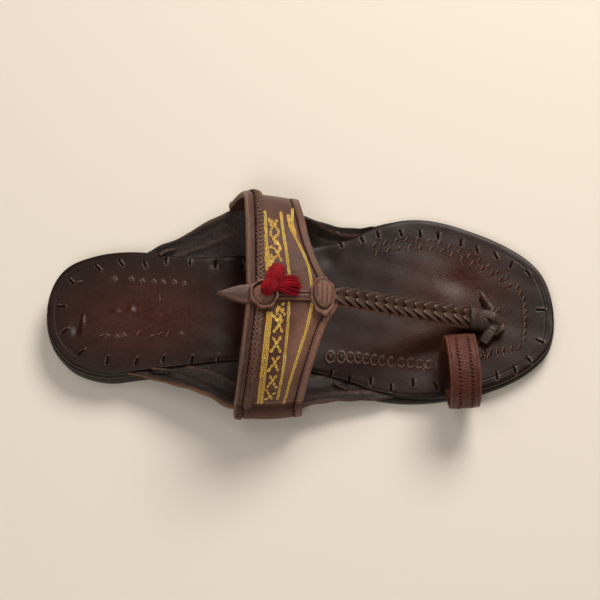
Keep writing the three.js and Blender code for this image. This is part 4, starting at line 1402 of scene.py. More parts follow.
        # Painted shade down each slit, over the dark lace that lies in it.
        for centre, way in zip(*self.slits()):
            along, across = self.pressed(places, centre, way, (self.slit_length / 2, 0.4))
            shade += 0.9 * step(-np.abs(along), -1.15, -0.8) * bump(across, 1.1)
        # Painted shade in the deep dent at the heel.
        shade += 0.6 * self.sunk(x, y, (*DENTS[0][:2], 2.4, 4))
        # Painted highlights on the raised ridges of the stamps, crescents and slit burrs, lightened towards
        # the pale fibre tone.
        light = step(self.relief_of(places), 0.14, 0.42)
        return {"wear": np.clip(wear + 0.8 * light, 0, 1), "shade": np.clip(shade, 0, 1), "raw": 0.75 * light}


@dataclass
class Ear:
    """One side flap: it leaves the sole beside the waist, curls up and shows a raw rim."""

    shop: Workshop
    side: Side
    stations: int = 260
    tongue: float = 10
    fold_rise: float = 0.55
    fold_depth: float = 0.6
    fold_width: float = 1.1

    FOLDS = {
        Side.MEDIAL: (((165, 368), (198, 377), (228, 393)), ((186, 366), (213, 373), (237, 386)),
                      ((150, 371), (180, 378), (205, 389)), ((303, 397), (340, 392), (382, 391)),
                      ((310, 388), (345, 383), (374, 380)), ((306, 380), (330, 376), (350, 378))),
        Side.LATERAL: (((158, 252), (195, 237), (238, 214)), ((172, 257), (205, 246), (238, 231)),
                       ((190, 255), (215, 250), (240, 244)), ((312, 222), (340, 235), (372, 236)),
                       ((318, 236), (335, 240), (352, 241))),
    }

    def folds(self, x: Array, y: Array) -> Array:
        """Height of the soft creases that are charted from the picture.

        Args:
            x: Places along the foot.
            y: Places across the foot.

        Returns:
            The heights.
        """
        form = self.shop.form
        height = 0 * (x + y)
        for number, chart in enumerate(self.FOLDS[self.side]):
            line = self.shop.view.meet(smooth_path(chart, 24),
                                       lambda a, b: form.ear_underside(self.side, a, b) + form.ear_wall,
                                       self.shop.shift)
            run = np.hypot(x[..., None] - line[:, 0], y[..., None] - line[:, 1])
            swing = self.fold_rise if number % 2 else -self.fold_depth
            height += swing * bump(run.min(axis=-1), self.fold_width)
        return height

    def build(self) -> Thing:
        """Makes the ear.

        Returns:
            The ear.
        """
        form, sign = self.shop.form, self.side.value
        xs = np.linspace(*form.ear_span(self.side), self.stations)
        edge = form.insole_edge(xs, self.side)
        rim = form.ear_reach(self.side, xs)
        bend = sign * np.minimum(sign * edge, sign * rim - 1)
        inner = edge - sign * self.tongue
        shares = np.linspace(0, 1, 16)
        columns = [mix(inner, bend, s) for s in (0, 0.5)] + [mix(bend, rim, s) for s in shares]
        ys = np.stack(columns, axis=1)
        from_rim = np.abs(rim[:, None] - ys)
        wave = 0.35 * np.sin(xs / 5.3)[:, None] * step(-from_rim, -9, 0)
        folds = self.folds(xs[:, None], ys)
        low = form.ear_underside(self.side, xs[:, None], ys) + wave + folds
        drop = rounded(from_rim, 0.7)
        grid = np.broadcast_to(xs[:, None], ys.shape)
        upper = np.stack([grid, ys, low + form.ear_wall - drop], axis=-1)
        lower = np.stack([grid, ys, low + drop], axis=-1)[:, ::-1]
        lip = []
        for share in (0.25, 0.5, 0.75):
            out = 0.25 * np.sin(xs / 2.1 + 3 * share) + 0.35 * math.sin(math.pi * share)
            lip.append(np.stack([xs, rim + sign * out, mix(upper[:, -1, 2], lower[:, 0, 2], share)], axis=-1))
        rings = np.concatenate([upper, np.stack(lip, axis=1), lower], axis=1)
        raw = np.zeros(rings.shape[:2])
        rough = mix(1.0, 0.35, step(xs, -30, 0))[:, None] * (1 if self.side is Side.MEDIAL else 0.35)
        raw[:, upper.shape[1] - 1 : upper.shape[1] + 4] = rough
        raw[:, upper.shape[1] - 2] = 0.3 * rough[:, 0]
        # The cut rim is a little lighter; painted highlight along the raised folds and painted shade in the
        # sunken ones.
        wear, shade = 0.3 * raw, 0 * raw
        wear[:, : ys.shape[1]] += 0.8 * step(folds, 0.12, 0.5)
        shade[:, : ys.shape[1]] = step(-folds, 0.12, 0.5)
        name = "ear_" + self.side.name.lower()
        marks = {"raw": raw, "wear": wear, "shade": shade}
        return self.shop.loft(name + "_leather", rings, marks, EAR, Slot.EAR, [name])


@dataclass
class InstepBand:
    """The broad instep strap, its hems round both ears, rolled rear edge and stitched border."""

    shop: Workshop
    rows: int = 260
    columns: int = 88
    piping: float = 4.8
    plait: float = 3.5
    border: float = 4.5
    hem_return: float = 11
    hem_turns: tuple[float, float] = (75, 40)
    hem_rows: int = 26

    def hem(self, side: Side, xs: Array) -> Array:
        """Middle line of a hem from under its ear to the crease, for each place along the foot.

        Args:
            side: The side of the foot.
            xs: Places along the foot.

        Returns:
            Sections by points by (y, z).
        """
        form = self.shop.form
        y, z = form.ear_rim(side, xs)
        radius = form.ear_wall / 2 + form.gap + form.wall / 2
        points = []
        for share in (1, 0.66, 0.33):
            inner = y - side.value * self.hem_return * share
            points.append((inner, form.ear_underside(side, xs, inner) - form.gap - form.wall / 2))
        end = self.hem_turns[0] if side is Side.MEDIAL else self.hem_turns[1]
        for turn in np.radians([-90, -60, -30, 0, 0.5 * end, end]):
            points.append((y + side.value * radius * math.cos(turn), z + radius * math.sin(turn)))
        line = np.array(points).transpose(2, 0, 1)
        return np.array([smooth_path(section, self.hem_rows) for section in line])

    def sections(self) -> Callable[[Array, Array], Array]:
        """A reader of the band's whole path: place along the foot and row to (y, z).

        Returns:
            The reader.
        """
        form = self.shop.form
        xs = np.arange(-46, 30, 1.0)
        arch = form.arch_paths(xs, np.linspace(0, 1, self.rows))
        near = self.hem(Side.MEDIAL, xs)
        far = self.hem(Side.LATERAL, xs)[:, ::-1]
        whole = np.concatenate([near, arch, far], axis=1)

        def read(x: Array, row: int) -> Array:
            """Path point of a row at places along the foot."""
            return np.stack([np.interp(x, xs, whole[:, row, k]) for k in (0, 1)], axis=-1)

        return read

    def edges(self, place: float) -> tuple[float, float]:
        """X of the rear and the front edge at a place round the arch."""
        form = self.shop.form
        return form.half * float(form.readers["rear"](place)), form.half * float(form.readers["front"](place))

    def relief(self, rear: Array, front: Array) -> Array:
        """Height of the rolled edge, the plait's bed and the border over the plain leather.

        Args:
            rear: Distances from the rear edge.
            front: Distances from the front edge.

        Returns:
            The heights.
        """
        out = np.clip(np.abs(rear - self.piping / 2) / (self.piping / 2), 0, 1)
        roll = 1.25 * (1 - out**3.5)
        groove = -0.55 * bump(rear - self.piping, 0.3)
        fold = -0.18 * bump(rear - 0.55 * self.piping, 0.3)
        bed = 0.3 * step(rear, self.piping, self.piping + 0.7) * step(-rear, -self.piping - self.plait - 0.5,
                                                                        -self.piping - self.plait + 0.3)
        raised = 0.45 * step(-front, -self.border, -self.border + 0.5)
        scored = -0.5 * bump(front - self.border - 0.1, 0.26) - 0.12 * bump(front - self.border * 0.4, 0.3)
        return roll + groove + fold + bed + raised + scored

    def grid(self) -> tuple[Array, Array, Array]:
        """Middle surface of the band, its outer relief and its distance from both edges.

        Returns:
            The points, the normals and both distances of each point.
        """
        read = self.sections()
        arch_places = np.linspace(0, 1, self.rows)
        places = np.concatenate([np.zeros(self.hem_rows), arch_places, np.ones(self.hem_rows)])
        points, distances = [], []
        for row, place in enumerate(places):
            rear, front = self.edges(place)
            span = front - rear
            insets = np.concatenate([[0, 0.1, 0.35, 0.7], np.linspace(1.1, 11, 34),
                                     np.linspace(11.6, span - 7, self.columns - 58),
                                     span - np.linspace(6.4, 1.1, 16), span - np.array([0.7, 0.35, 0.1, 0])])
            yz = read(rear + insets, row)
            points.append(np.concatenate([(rear + insets)[:, None], yz], axis=1))
            distances.append(np.stack([insets, span - insets], axis=1))
        points = np.array(points)
        around = np.gradient(points, axis=0)
        along = np.gradient(points, axis=1)
        return points, unit(np.cross(along, around)), np.array(distances)

    def line(self, inset: float, front: bool, ends: tuple[int, int], lift: float) -> tuple[Array, Array]:
        """A line along the outer face, at an even distance from an edge.

        Args:
            inset: Distance from the edge.
            front: Whether that is the front edge.
            ends: How many rows it leaves out at both ends.
            lift: Its height over the plain outer face.

        Returns:
            The line's points and the normals there.
        """
        points, normals, distances = self.grid()
        order = slice(None, None, -1 if front else 1)
        line, up = [], []
        for row in range(ends[0], len(points) - ends[1]):
            at = distances[row, order, int(front)]
            line.append([np.interp(inset, at, points[row, order, k]) for k in range(3)])
            up.append([np.interp(inset, at, normals[row, order, k]) for k in range(3)])
        up = unit(np.array(up))
        return np.array(line) + up * (self.shop.form.wall / 2 + lift), up

    def build(self) -> Thing:
        """Makes the band.

        Returns:
            The band.
        """
        form = self.shop.form
        points, normals, distances = self.grid()
        rear, front = distances[..., 0], distances[..., 1]
        drop = rounded(np.minimum(rear, front), 0.7)
        half = form.wall / 2
        wave = 0.12 * np.sin(points[..., 1] / 6 + points[..., 0] / 9) + 0.05 * np.sin(points[..., 1] / 2.3)
        outer = points + normals * (half - drop + self.relief(rear, front) + wave)[..., None]
        keep = [0, 2, 4, *range(8, points.shape[1] - 4, 6), points.shape[1] - 3, points.shape[1] - 1]
        inner = (points - normals * (half - drop)[..., None])[:, keep][:, ::-1]
        rows = np.arange(len(points))[:, None]
        crease = bump(rows - self.hem_rows - 7, 1.2) + 0.6 * bump(rows - self.hem_rows + 1, 1)
        crease = crease * step(rear, self.piping - 1, self.piping) * step(-rows, -60, -50)
        outer -= normals * (0.4 * crease)[..., None]
        rings = np.concatenate([outer, inner], axis=1)
        raw = np.zeros(rings.shape[:2])
        raw[:, 0] = raw[:, -1] = 0.5
        raw[:, outer.shape[1] - 1 : outer.shape[1] + 1] = 0.6
        # Painted shade in the groove behind the rolled edge, in the scored border line, along the fold of the
        # roll, in the plait's bed between its strands and in the hem crease; the rolled edge is also a little
        # darker over the near part.
        bed = step(-rear, -self.piping - self.plait - 0.6, -self.piping - self.plait) * step(rear, 4.6, 5)
        shade = np.zeros(rings.shape[:2])
        shade[:, : outer.shape[1]] = (0.8 * bump(rear - self.piping, 0.35)
                                      + 0.7 * bump(front - self.border, 0.28)
                                      + 0.4 * bump(rear - 0.55 * self.piping, 0.5)
                                      + 0.9 * bed * step(rows, self.hem_rows + 6, self.hem_rows + 9)
                                      + 0.3 * step(-rear, -4.9, -4.4) * step(-rows, -250, -60) + 0.7 * crease)
        # Painted highlights along the outer lip of the rolled edge, on the front border and beside the hem
        # crease, and a broad painted sheen over the near half of the band and of its border.
        wear = np.zeros(rings.shape[:2])
        wear[:, : outer.shape[1]] = (0.9 * bump(rear - 0.7, 0.5) + 0.4 * bump(front - 2, 1.2)
                                     + 0.8 * bump(rows - self.hem_rows - 10, 1.4)
                                     + 0.75 * bump(front - 11, 5.5) * bump(rows - 95, 48)
                                     + 0.45 * bump(front - 2.2, 1.8) * bump(rows - 80, 60))
        marks = {"raw": raw, "shade": shade, "wear": wear}
        return self.shop.loft("instep_band", rings, marks, STRAP, Slot.STRAP, ["upper"])


def strip_rings(path: Array, ups: Array, widths: Array, profile: Rows, walls: float = 1) -> Array:
    """Rings of a flat strip along a path.

    Args:
        path: Points along its middle.
        ups: Direction of its upper face at each point.
        widths: Half width at each point.
        profile: Points of its section: share of the half width, and height in millimetres.
        walls: Factor on the profile's heights.

    Returns:
        An array of rings by points by three.
    """
    section = np.array(profile, float)
    return swept(path, *crosswise(path, ups), np.outer(widths, section[:, 0]), walls * section[:, 1])


STRIP_SECTION = ((-1, -0.4), (-1, 0.35), (-0.9, 0.62), (-0.7, 0.78), (-0.35, 0.9), (0, 0.95), (0.35, 0.9),
                 (0.7, 0.78), (0.9, 0.62), (1, 0.35), (1, -0.4), (0.9, -0.5), (-0.9, -0.5))


@dataclass
class CentreStrip:
    """Raised strip along the top of the band, with the leaf tip over its rear edge."""

    shop: Workshop
    tip_x: float = -43.5
    leaf_width: float = 11
    rows: int = 120

    SHARES = (-1, -0.96, -0.86, -0.7, -0.5, -0.25, 0, 0.25, 0.5, 0.7, 0.86, 0.96, 1)
    STRIP_HEIGHTS = (0.5, 0.95, 1.15, 1.2, 0.7, 1.05, 1.1, 1.05, 0.7, 1.2, 1.15, 0.95, 0.5)
    LEAF_HEIGHTS = (0.5, 0.95, 1.1, 1.15, 1.2, 1.25, 1.3, 1.25, 1.2, 1.15, 1.1, 0.95, 0.5)

    def build(self) -> Thing:
        """Makes the strip.

        Returns:
            The strip.
        """
        form = self.shop.form
        along = np.linspace(0, 1, self.rows)
        xs = mix(self.tip_x, form.crown_front[0] - 4.5, along)
        half = 0.5 * self.leaf_width * form.readers["leaf"](along)
        shares = np.array(self.SHARES)
        heights = np.array(self.STRIP_HEIGHTS)
        leaf = step(-along, -0.46, -0.36)[:, None]
        profile = mix(heights, np.array(self.LEAF_HEIGHTS), leaf)
        ys = form.centre_line(xs)[:, None] + shares * half[:, None]
        grid = np.broadcast_to(xs[:, None], ys.shape)
        upper, _ = form.on_arch(grid, ys, form.strip_height * profile)
        lower, _ = form.on_arch(grid[:, ::-1], ys[:, ::-1], np.full(ys.shape, -1.0))
        rings = np.concatenate([upper, lower], axis=1)
        # A lighter tone with painted highlights on both shoulders, painted shade in the strip's two grooves,
        # and the leaf darker all over.
        wear = np.zeros(rings.shape[:2])
        wear[:, : len(shares)] = 0.25 + 0.6 * bump(np.abs(shares) - 0.8, 0.2)
        shade = np.zeros(rings.shape[:2])
        shade[:, : len(shares)] = 0.55 * leaf + 0.8 * (1 - leaf) * bump(np.abs(shares) - 0.5, 0.12)
        marks = {"wear": wear, "shade": shade}
        return self.shop.loft("centre_strip", rings, marks, STRAP, Slot.STRAP)


@dataclass
class ToeLoop:
    """Big-toe ring with two rows of punched dashes and pressed ribs between them."""

    shop: Workshop
    width: float = 16
    wall: float = 2.5
    rows: int = 330
    columns: int = 66

    def path(self, count: int) -> Array:
        """Middle line of the loop from its medial stem to its lateral one.

        Args:
            count: How many points to return.

        Returns:
            The points.
        """
        form = self.shop.form
        turn = math.radians(form.loop_turn)
        points = []
        for across, height in LOOP_SHAPE:
            run = form.loop_half_width * across
            x = form.loop_x - run * math.sin(turn)
            floor = float(form.insole_bottom(x))
            z = floor + form.insole + form.loop_height * height
            points.append((x, form.loop_y + run * math.cos(turn), max(z, floor + form.gap)))
        return smooth_path(points, count)

    def relief(self, along: Array, across: Array) -> Array:
        """Punched dashes and ribs: along in millimetres, across as a share of the half width.

        Args:
            along: Places along the loop.
            across: Places across it.

        Returns:
            The heights.
        """
        height = -0.3 * bump(np.abs(across) - 0.86, 0.05) + 0 * along
        for centre, slant in ((-0.36, 0.5), (0.44, 0.6)):
            phase = (along + slant * 8 * (across - centre)) / 2.0
            dash = step(np.cos(2 * math.pi * phase), -0.1, 0.6)
            height -= 0.6 * dash * bump(across - centre, 0.09)
            height += 0.2 * (1 - dash) * bump(across - centre, 0.13)
        between = step(across, -0.2, -0.1) * step(-across, -0.3, -0.2)
        height += 0.1 * between * np.sin(2 * math.pi * along / 1.4)
        return height

    def build(self) -> Thing:
        """Makes the loop.

        Returns:
            The loop.
        """
        form = self.shop.form
        path = self.path(self.rows)
        turn = math.radians(form.loop_turn)
        ahead = np.array([math.cos(turn), math.sin(turn), 0])
        tangent = heading(path)
        up = unit(np.cross(tangent, -ahead))
        shares = np.concatenate([[-1, -0.985, -0.95], np.linspace(-0.9, 0.9, self.columns), [0.95, 0.985, 1]])
        edge = (1 - np.abs(shares)) * self.width / 2
        along = np.linspace(0, path_length(path), self.rows)
        half = self.wall / 2
        height = half - rounded(edge, 0.6)[None, :] + self.relief(along[:, None], shares[None, :])
        across = shares[None, :, None] * ahead * self.width / 2
        upper = path[:, None, :] + across + height[..., None] * up[:, None, :]
        sparse = [0, 1, 2, *range(6, len(shares) - 3, 8), len(shares) - 3, len(shares) - 2, len(shares) - 1]
        low = half - rounded(edge[sparse], 0.6)
        lower = (path[:, None, :] + across[:, sparse] - low[None, :, None] * up[:, None, :])[:, ::-1]
        rings = np.concatenate([upper, lower], axis=1)
        marks = {name: np.zeros(rings.shape[:2]) for name in ("raw", "wear", "shade")}
        marks["raw"][:, [0, -1]] = 0.8
        marks["raw"][:, len(shares) - 1 : len(shares) + 1] = 0.8
        # Painted shade down the punched dashes; the loop is also lighter along both edges.
        pits = np.clip(-self.relief(along[:, None], shares[None, :]) / 0.6, 0, 1)
        marks["shade"][:, : len(shares)] = 0.8 * pits * (np.abs(shares) < 0.8)
        marks["wear"][:, : len(shares)] = 0.6 * bump(np.abs(shares) - 0.95, 0.05)
        return self.shop.loft("toe_loop_leather", rings, marks, LOOP, Slot.STRAP, ["toe_loop"])


class Repeater:
    """Geometry node trees that set one small piece again and again."""

    INPUTS = (("Unit", "NodeSocketObject"), ("Spacing", "NodeSocketFloat"),
              ("Size", "NodeSocketVector"), ("Turn Jitter", "NodeSocketFloat"),
              ("Size Jitter", "NodeSocketFloat"), ("Seed", "NodeSocketInt"),
              ("Finish", "NodeSocketMaterial"))

    def __init__(self, shop: Workshop) -> None:
        """Keeps the workshop and builds both trees.

        Args:
            shop: The workshop.
        """
        self.shop = shop
        self.along = self._tree("set_along_path", True)
        self.charted = self._tree("set_on_chart", False)

    def _tree(self, name: str, follow: bool) -> bpy.types.NodeTree:
        """Builds a tree that sets a unit along paths, or on charted points.

        Args:
            name: The tree's name.
            follow: Whether it spaces the units along paths.

        Returns:
            The tree.
        """
        tree = bpy.data.node_groups.new(name, "GeometryNodeTree")
        tree.interface.new_socket("Geometry", in_out="INPUT", socket_type="NodeSocketGeometry")
        for label, kind in self.INPUTS:
            tree.interface.new_socket(label, in_out="INPUT", socket_type=kind)
        tree.interface.new_socket("Geometry", in_out="OUTPUT", socket_type="NodeSocketGeometry")
        nodes = Nodes(tree)
        given = nodes.add("NodeGroupInput").outputs
        spots = given["Geometry"]
        if follow:
            curve = nodes.add("GeometryNodeMeshToCurve", {"Mesh": spots})
            even = nodes.add("GeometryNodeResampleCurve", {"Curve": curve.outputs[0]}, mode="LENGTH")
            tree.links.new(given["Spacing"], even.inputs["Length"])
            spots = even.outputs[0]
            ahead = nodes.add("GeometryNodeInputTangent").outputs[0]
        else:
            ahead = self._attribute(nodes, "facing", "FLOAT_VECTOR")
        up = self._attribute(nodes, "surface_normal", "FLOAT_VECTOR")
        turn = nodes.add("FunctionNodeAlignRotationToVector", {"Vector": ahead}, axis="X")
        turn = nodes.add("FunctionNodeAlignRotationToVector", {"Rotation": turn.outputs[0], "Vector": up},
                         axis="Z", pivot_axis="X")
        unit_shape = nodes.add("GeometryNodeObjectInfo", {"Object": given["Unit"]})
        placed = nodes.add("GeometryNodeInstanceOnPoints",
                           {"Points": spots, "Instance": unit_shape.outputs["Geometry"],
                            "Rotation": turn.outputs[0], "Scale": given["Size"]})
        wobble = nodes.add("FunctionNodeRandomValue", {"Seed": given["Seed"]}, data_type="FLOAT_VECTOR")
        spread = nodes.add("ShaderNodeVectorMath", {0: (2.0, 2.0, 2.0)}, operation="SCALE")
        tree.links.new(given["Turn Jitter"], spread.inputs["Scale"])
        centred = nodes.add("ShaderNodeVectorMath", {0: wobble.outputs[0], 1: (0.5, 0.5, 0.5)},
                            operation="SUBTRACT")
        angle = nodes.add("ShaderNodeVectorMath", {0: centred.outputs[0], 1: spread.outputs[0]},
                          operation="MULTIPLY")
        turned = nodes.add("GeometryNodeRotateInstances", {"Instances": placed.outputs[0],
                                                           "Rotation": angle.outputs[0]})
        grow = nodes.add("FunctionNodeRandomValue", {"Seed": given["Seed"]}, data_type="FLOAT")
        swing = nodes.maths("MULTIPLY", nodes.maths("SUBTRACT", grow.outputs[1], 0.5), given["Size Jitter"])
        factor = nodes.maths("ADD", nodes.maths("MULTIPLY", swing, 2.0), 1.0)
        scaled = nodes.add("GeometryNodeScaleInstances", {"Instances": turned.outputs[0], "Scale": factor})
        real = nodes.add("GeometryNodeRealizeInstances", {"Geometry": scaled.outputs[0]})
        dressed = nodes.add("GeometryNodeSetMaterial", {"Geometry": real.outputs[0],
                                                        "Material": given["Finish"]})
        nodes.add("NodeGroupOutput", {"Geometry": dressed.outputs[0]})
        return tree

    @staticmethod
    def _attribute(nodes: Nodes, name: str, kind: str) -> Socket:
        """A node that reads a named attribute.

        Args:
            nodes: The tree's nodes.
            name: The attribute's name.
            kind: Its data type.

        Returns:
            Its socket.
        """
        node = nodes.add("GeometryNodeInputNamedAttribute", data_type=kind)
        node.inputs["Name"].default_value = name
        return node.outputs[0]

    def bake(self, carrier: Thing, tree: bpy.types.NodeTree, values: dict[str, object],
             name: str) -> Thing:
        """Runs a tree on a carrier and keeps the result as a plain mesh.

        Args:
            carrier: The object whose paths or points the tree reads.
            tree: The tree.
            values: The tree's inputs by name.
            name: The result's name.

        Returns:
            The new object. The carrier is removed.
        """
        modifier = carrier.modifiers.new("repeat", "NODES")
        modifier.node_group = tree
        for socket in tree.interface.items_tree:
            if socket.in_out == "INPUT" and socket.name in values:
                modifier[socket.identifier] = values[socket.name]
        graph = bpy.context.evaluated_depsgraph_get()
        mesh = bpy.data.meshes.new_from_object(carrier.evaluated_get(graph))
        carrier.modifiers.clear()
        bpy.data.objects.remove(carrier)
        mesh.name = name
        return linked(name, mesh)

    def repeat(self, name: str, carrier: Thing, unit_shape: Thing,
               finish: LeatherFinish | ThreadFinish, slot: Slot, **sizes: object) -> Thing:
        """Sets a unit along the carrier's paths, or on its points if it has none.

        Args:
            name: The piece's name.
            carrier: The object with the paths or points.
            unit_shape: The small piece to repeat, in metres at the origin.
            finish: The finish of the result.
            slot: The record's slot.
            sizes: Values for Spacing, Size, Turn_Jitter and Size_Jitter.

        Returns:
            The finished piece.
        """
        tree = self.along if len(carrier.data.edges) else self.charted
        values = {key.replace("_", " "): value for key, value in sizes.items()}
        values.update({"Unit": unit_shape, "Seed": SEED, "Finish": self.shop.material(finish)})
        values.setdefault("Size", (1.0, 1.0, 1.0))
        values.setdefault("Turn Jitter", 0.0)
        values.setdefault("Size Jitter", 0.0)
        piece = self.bake(carrier, tree, values, name)
        bpy.data.objects.remove(unit_shape)
        return self.shop.finish(piece, finish, slot, merge=0)

    def carrier(self, name: str, paths: Sequence[Array], normals: Sequence[Array],
                facing: Array | None = None) -> Thing:
        """Makes the object that carries paths, or points if facing is given.

        Args:
            name: The object's name.
            paths: Lines of points in the pattern's millimetres.
            normals: The surface's normals at those points.
            facing: The way that each point's unit looks.

        Returns:
            The object.
        """
        points = np.concatenate(paths)
        edges, start = [], 0
        for path in paths:
            if facing is None:
                edges.extend((k, k + 1) for k in range(start, start + len(path) - 1))
            start += len(path)
        marks = {"surface_normal": np.concatenate(normals)}
        if facing is not None:
            marks["facing"] = facing
        return self.shop.raw_object(name, points, [], edges, marks)

    def unit(self, name: str, points: Array, faces: list, marks: dict | None = None) -> Thing:
        """Makes a unit at the origin from points in millimetres, with values for each point."""
        return mesh_object(name, np.asarray(points, float).reshape(-1, 3) * MM, faces, marks=marks)


def tube(path: Array, radii: Array, sides: int = 6, flat: float = 1) -> tuple[Array, list]:
    """Points and faces of a tube along a path that lies near the XY plane.

    Args:
        path: Points along its middle.
        radii: Its radius at each point.
        sides: How many sides it has.
        flat: Factor on its height.

    Returns:
        The points and the faces.
    """
    angle = round_angles(sides)
    rings = swept(path, *crosswise(path), np.outer(radii, np.cos(angle)),
                  flat * np.outer(radii, np.sin(angle)))
    return rings, loft_faces(len(path), sides)


def chevron(pitch: float, half: float, rise: float, thick: float, strand: float) -> tuple[Array, list, dict]:
    """One V of a plait, its apex at the rear, each arm a flat strand that leans over the next V.

    Args:
        pitch: Distance from one V to the next.
        half: Half of the plait's width.
        rise: Height of the plait's middle over its sides.
        thick: Half of a strand's thickness.
        strand: Half of a strand's width as a share of the pitch.

    Returns:
        The points, the faces, and each point's painted highlight along the strand's rear edge and painted
        shade over its front half.
    """
    bodies, wear, shade = [], [], []
    across = np.linspace(-0.03, 1, 12)
    angle = round_angles(12)
    for sign in (-1, 1):
        out = half * ((1 - 0.18 * sign) * sign * across + 0.18)
        middle = np.stack([pitch * (1.35 * np.abs(across) - 0.5), out,
                           rise * (1 - 0.8 * np.abs(out / half) ** 2.2) + 0.1 * sign * thick], axis=1)
        tangent = heading(middle)
        flat = unit(np.cross(tangent, UP) * sign)
        lean = unit(UP + 0.42 * flat)
        lean = unit(lean - tangent * np.sum(lean * tangent, axis=1, keepdims=True))
        flat = np.cross(lean, tangent)
        wide = strand * pitch * (1 - 0.25 * np.abs(across) ** 4)
        body = thick * (1 - 0.25 * np.abs(across) ** 3)
        rings = swept(middle, flat, lean, np.outer(wide, powered(np.cos(angle), 0.8)),
                      np.outer(body, np.sin(angle)))
        bodies.append((rings, loft_faces(12, 12)))
        # Painted highlight along each strand's rear edge and painted shade over its front half.
        ahead = (rings[..., 0] - middle[:, :1]) / wide[:, None]
        wear.append(bump(ahead + 0.8, 0.28).ravel())
        shade.append((0.95 * step(ahead, 0.05, 0.7)).ravel())
    points, faces = joined(bodies)
    return points, faces, {"wear": np.concatenate(wear), "shade": np.concatenate(shade)}


@dataclass
class ThongPlait:
    """The plaited thong: a flat backing with a raw edge and overlapping strands above it."""

    shop: Workshop
    repeater: Repeater
    chevrons: int = 13
    strand_width: float = 7.8
    strand_height: float = 2.6

    def backing(self) -> Thing:
        """Makes the backing strip.

        Returns:
            The backing.
        """
        form = self.shop.form
        path = form.thong_path(160)
        tangent = heading(path)
        ups = unit(np.cross(tangent, np.array([0, 1.0, 0])))
        half = form.thong_wall / 2
        section = ((-1, -0.7 * half), (-1.02, 0), (-1, 0.7 * half), (-0.93, half), (0, half), (0.93, half),
                   (1, 0.7 * half), (1.02, 0), (1, -0.7 * half), (0.93, -half), (0, -half), (-0.93, -half))
        widths = 0.5 * form.thong_width * (1 + 0.3 * step(path[:, 0], 45, 88))
        rings = strip_rings(path, ups, widths, section)
        raw = np.zeros(rings.shape[:2])
        raw[:, [0, 1, 2, 6, 7, 8]] = 1
        raw[:, [3, 5, 9, 11]] = 0.4
        return self.shop.loft("thong_backing", rings, {"raw": raw}, EAR, Slot.STRAP)

    def build(self) -> None:
        """Makes the backing and the strands."""
        self.backing()
        form = self.shop.form
        path = form.thong_path(400)
        length = path_length(path)
        sleeve_x = form.post_x - form.sleeve_to_post - 0.9 * form.sleeve_length
        end = int(np.searchsorted(path[:, 0], sleeve_x))
        start = int(400 * form.thong_tuck / length) + 6
        line = path[start:end]
        pitch = path_length(line) / self.chevrons
        tangent = heading(path)[start:end]
        normal = unit(np.cross(tangent, np.array([0, 1.0, 0])))
        normal *= np.sign(normal[:, 2:])
        carrier = self.repeater.carrier("plait_line", [line + normal * (form.thong_wall / 2)], [normal])
        shape = chevron(pitch, 0.5 * self.strand_width, 0.55 * self.strand_height, 0.62, 0.58)
        piece = self.repeater.unit("plait_strand", *shape)
        self.repeater.repeat("thong_plait", carrier, piece, PLAIT, Slot.STRAP, Spacing=pitch * MM,
                             Turn_Jitter=0.03, Size_Jitter=0.02)


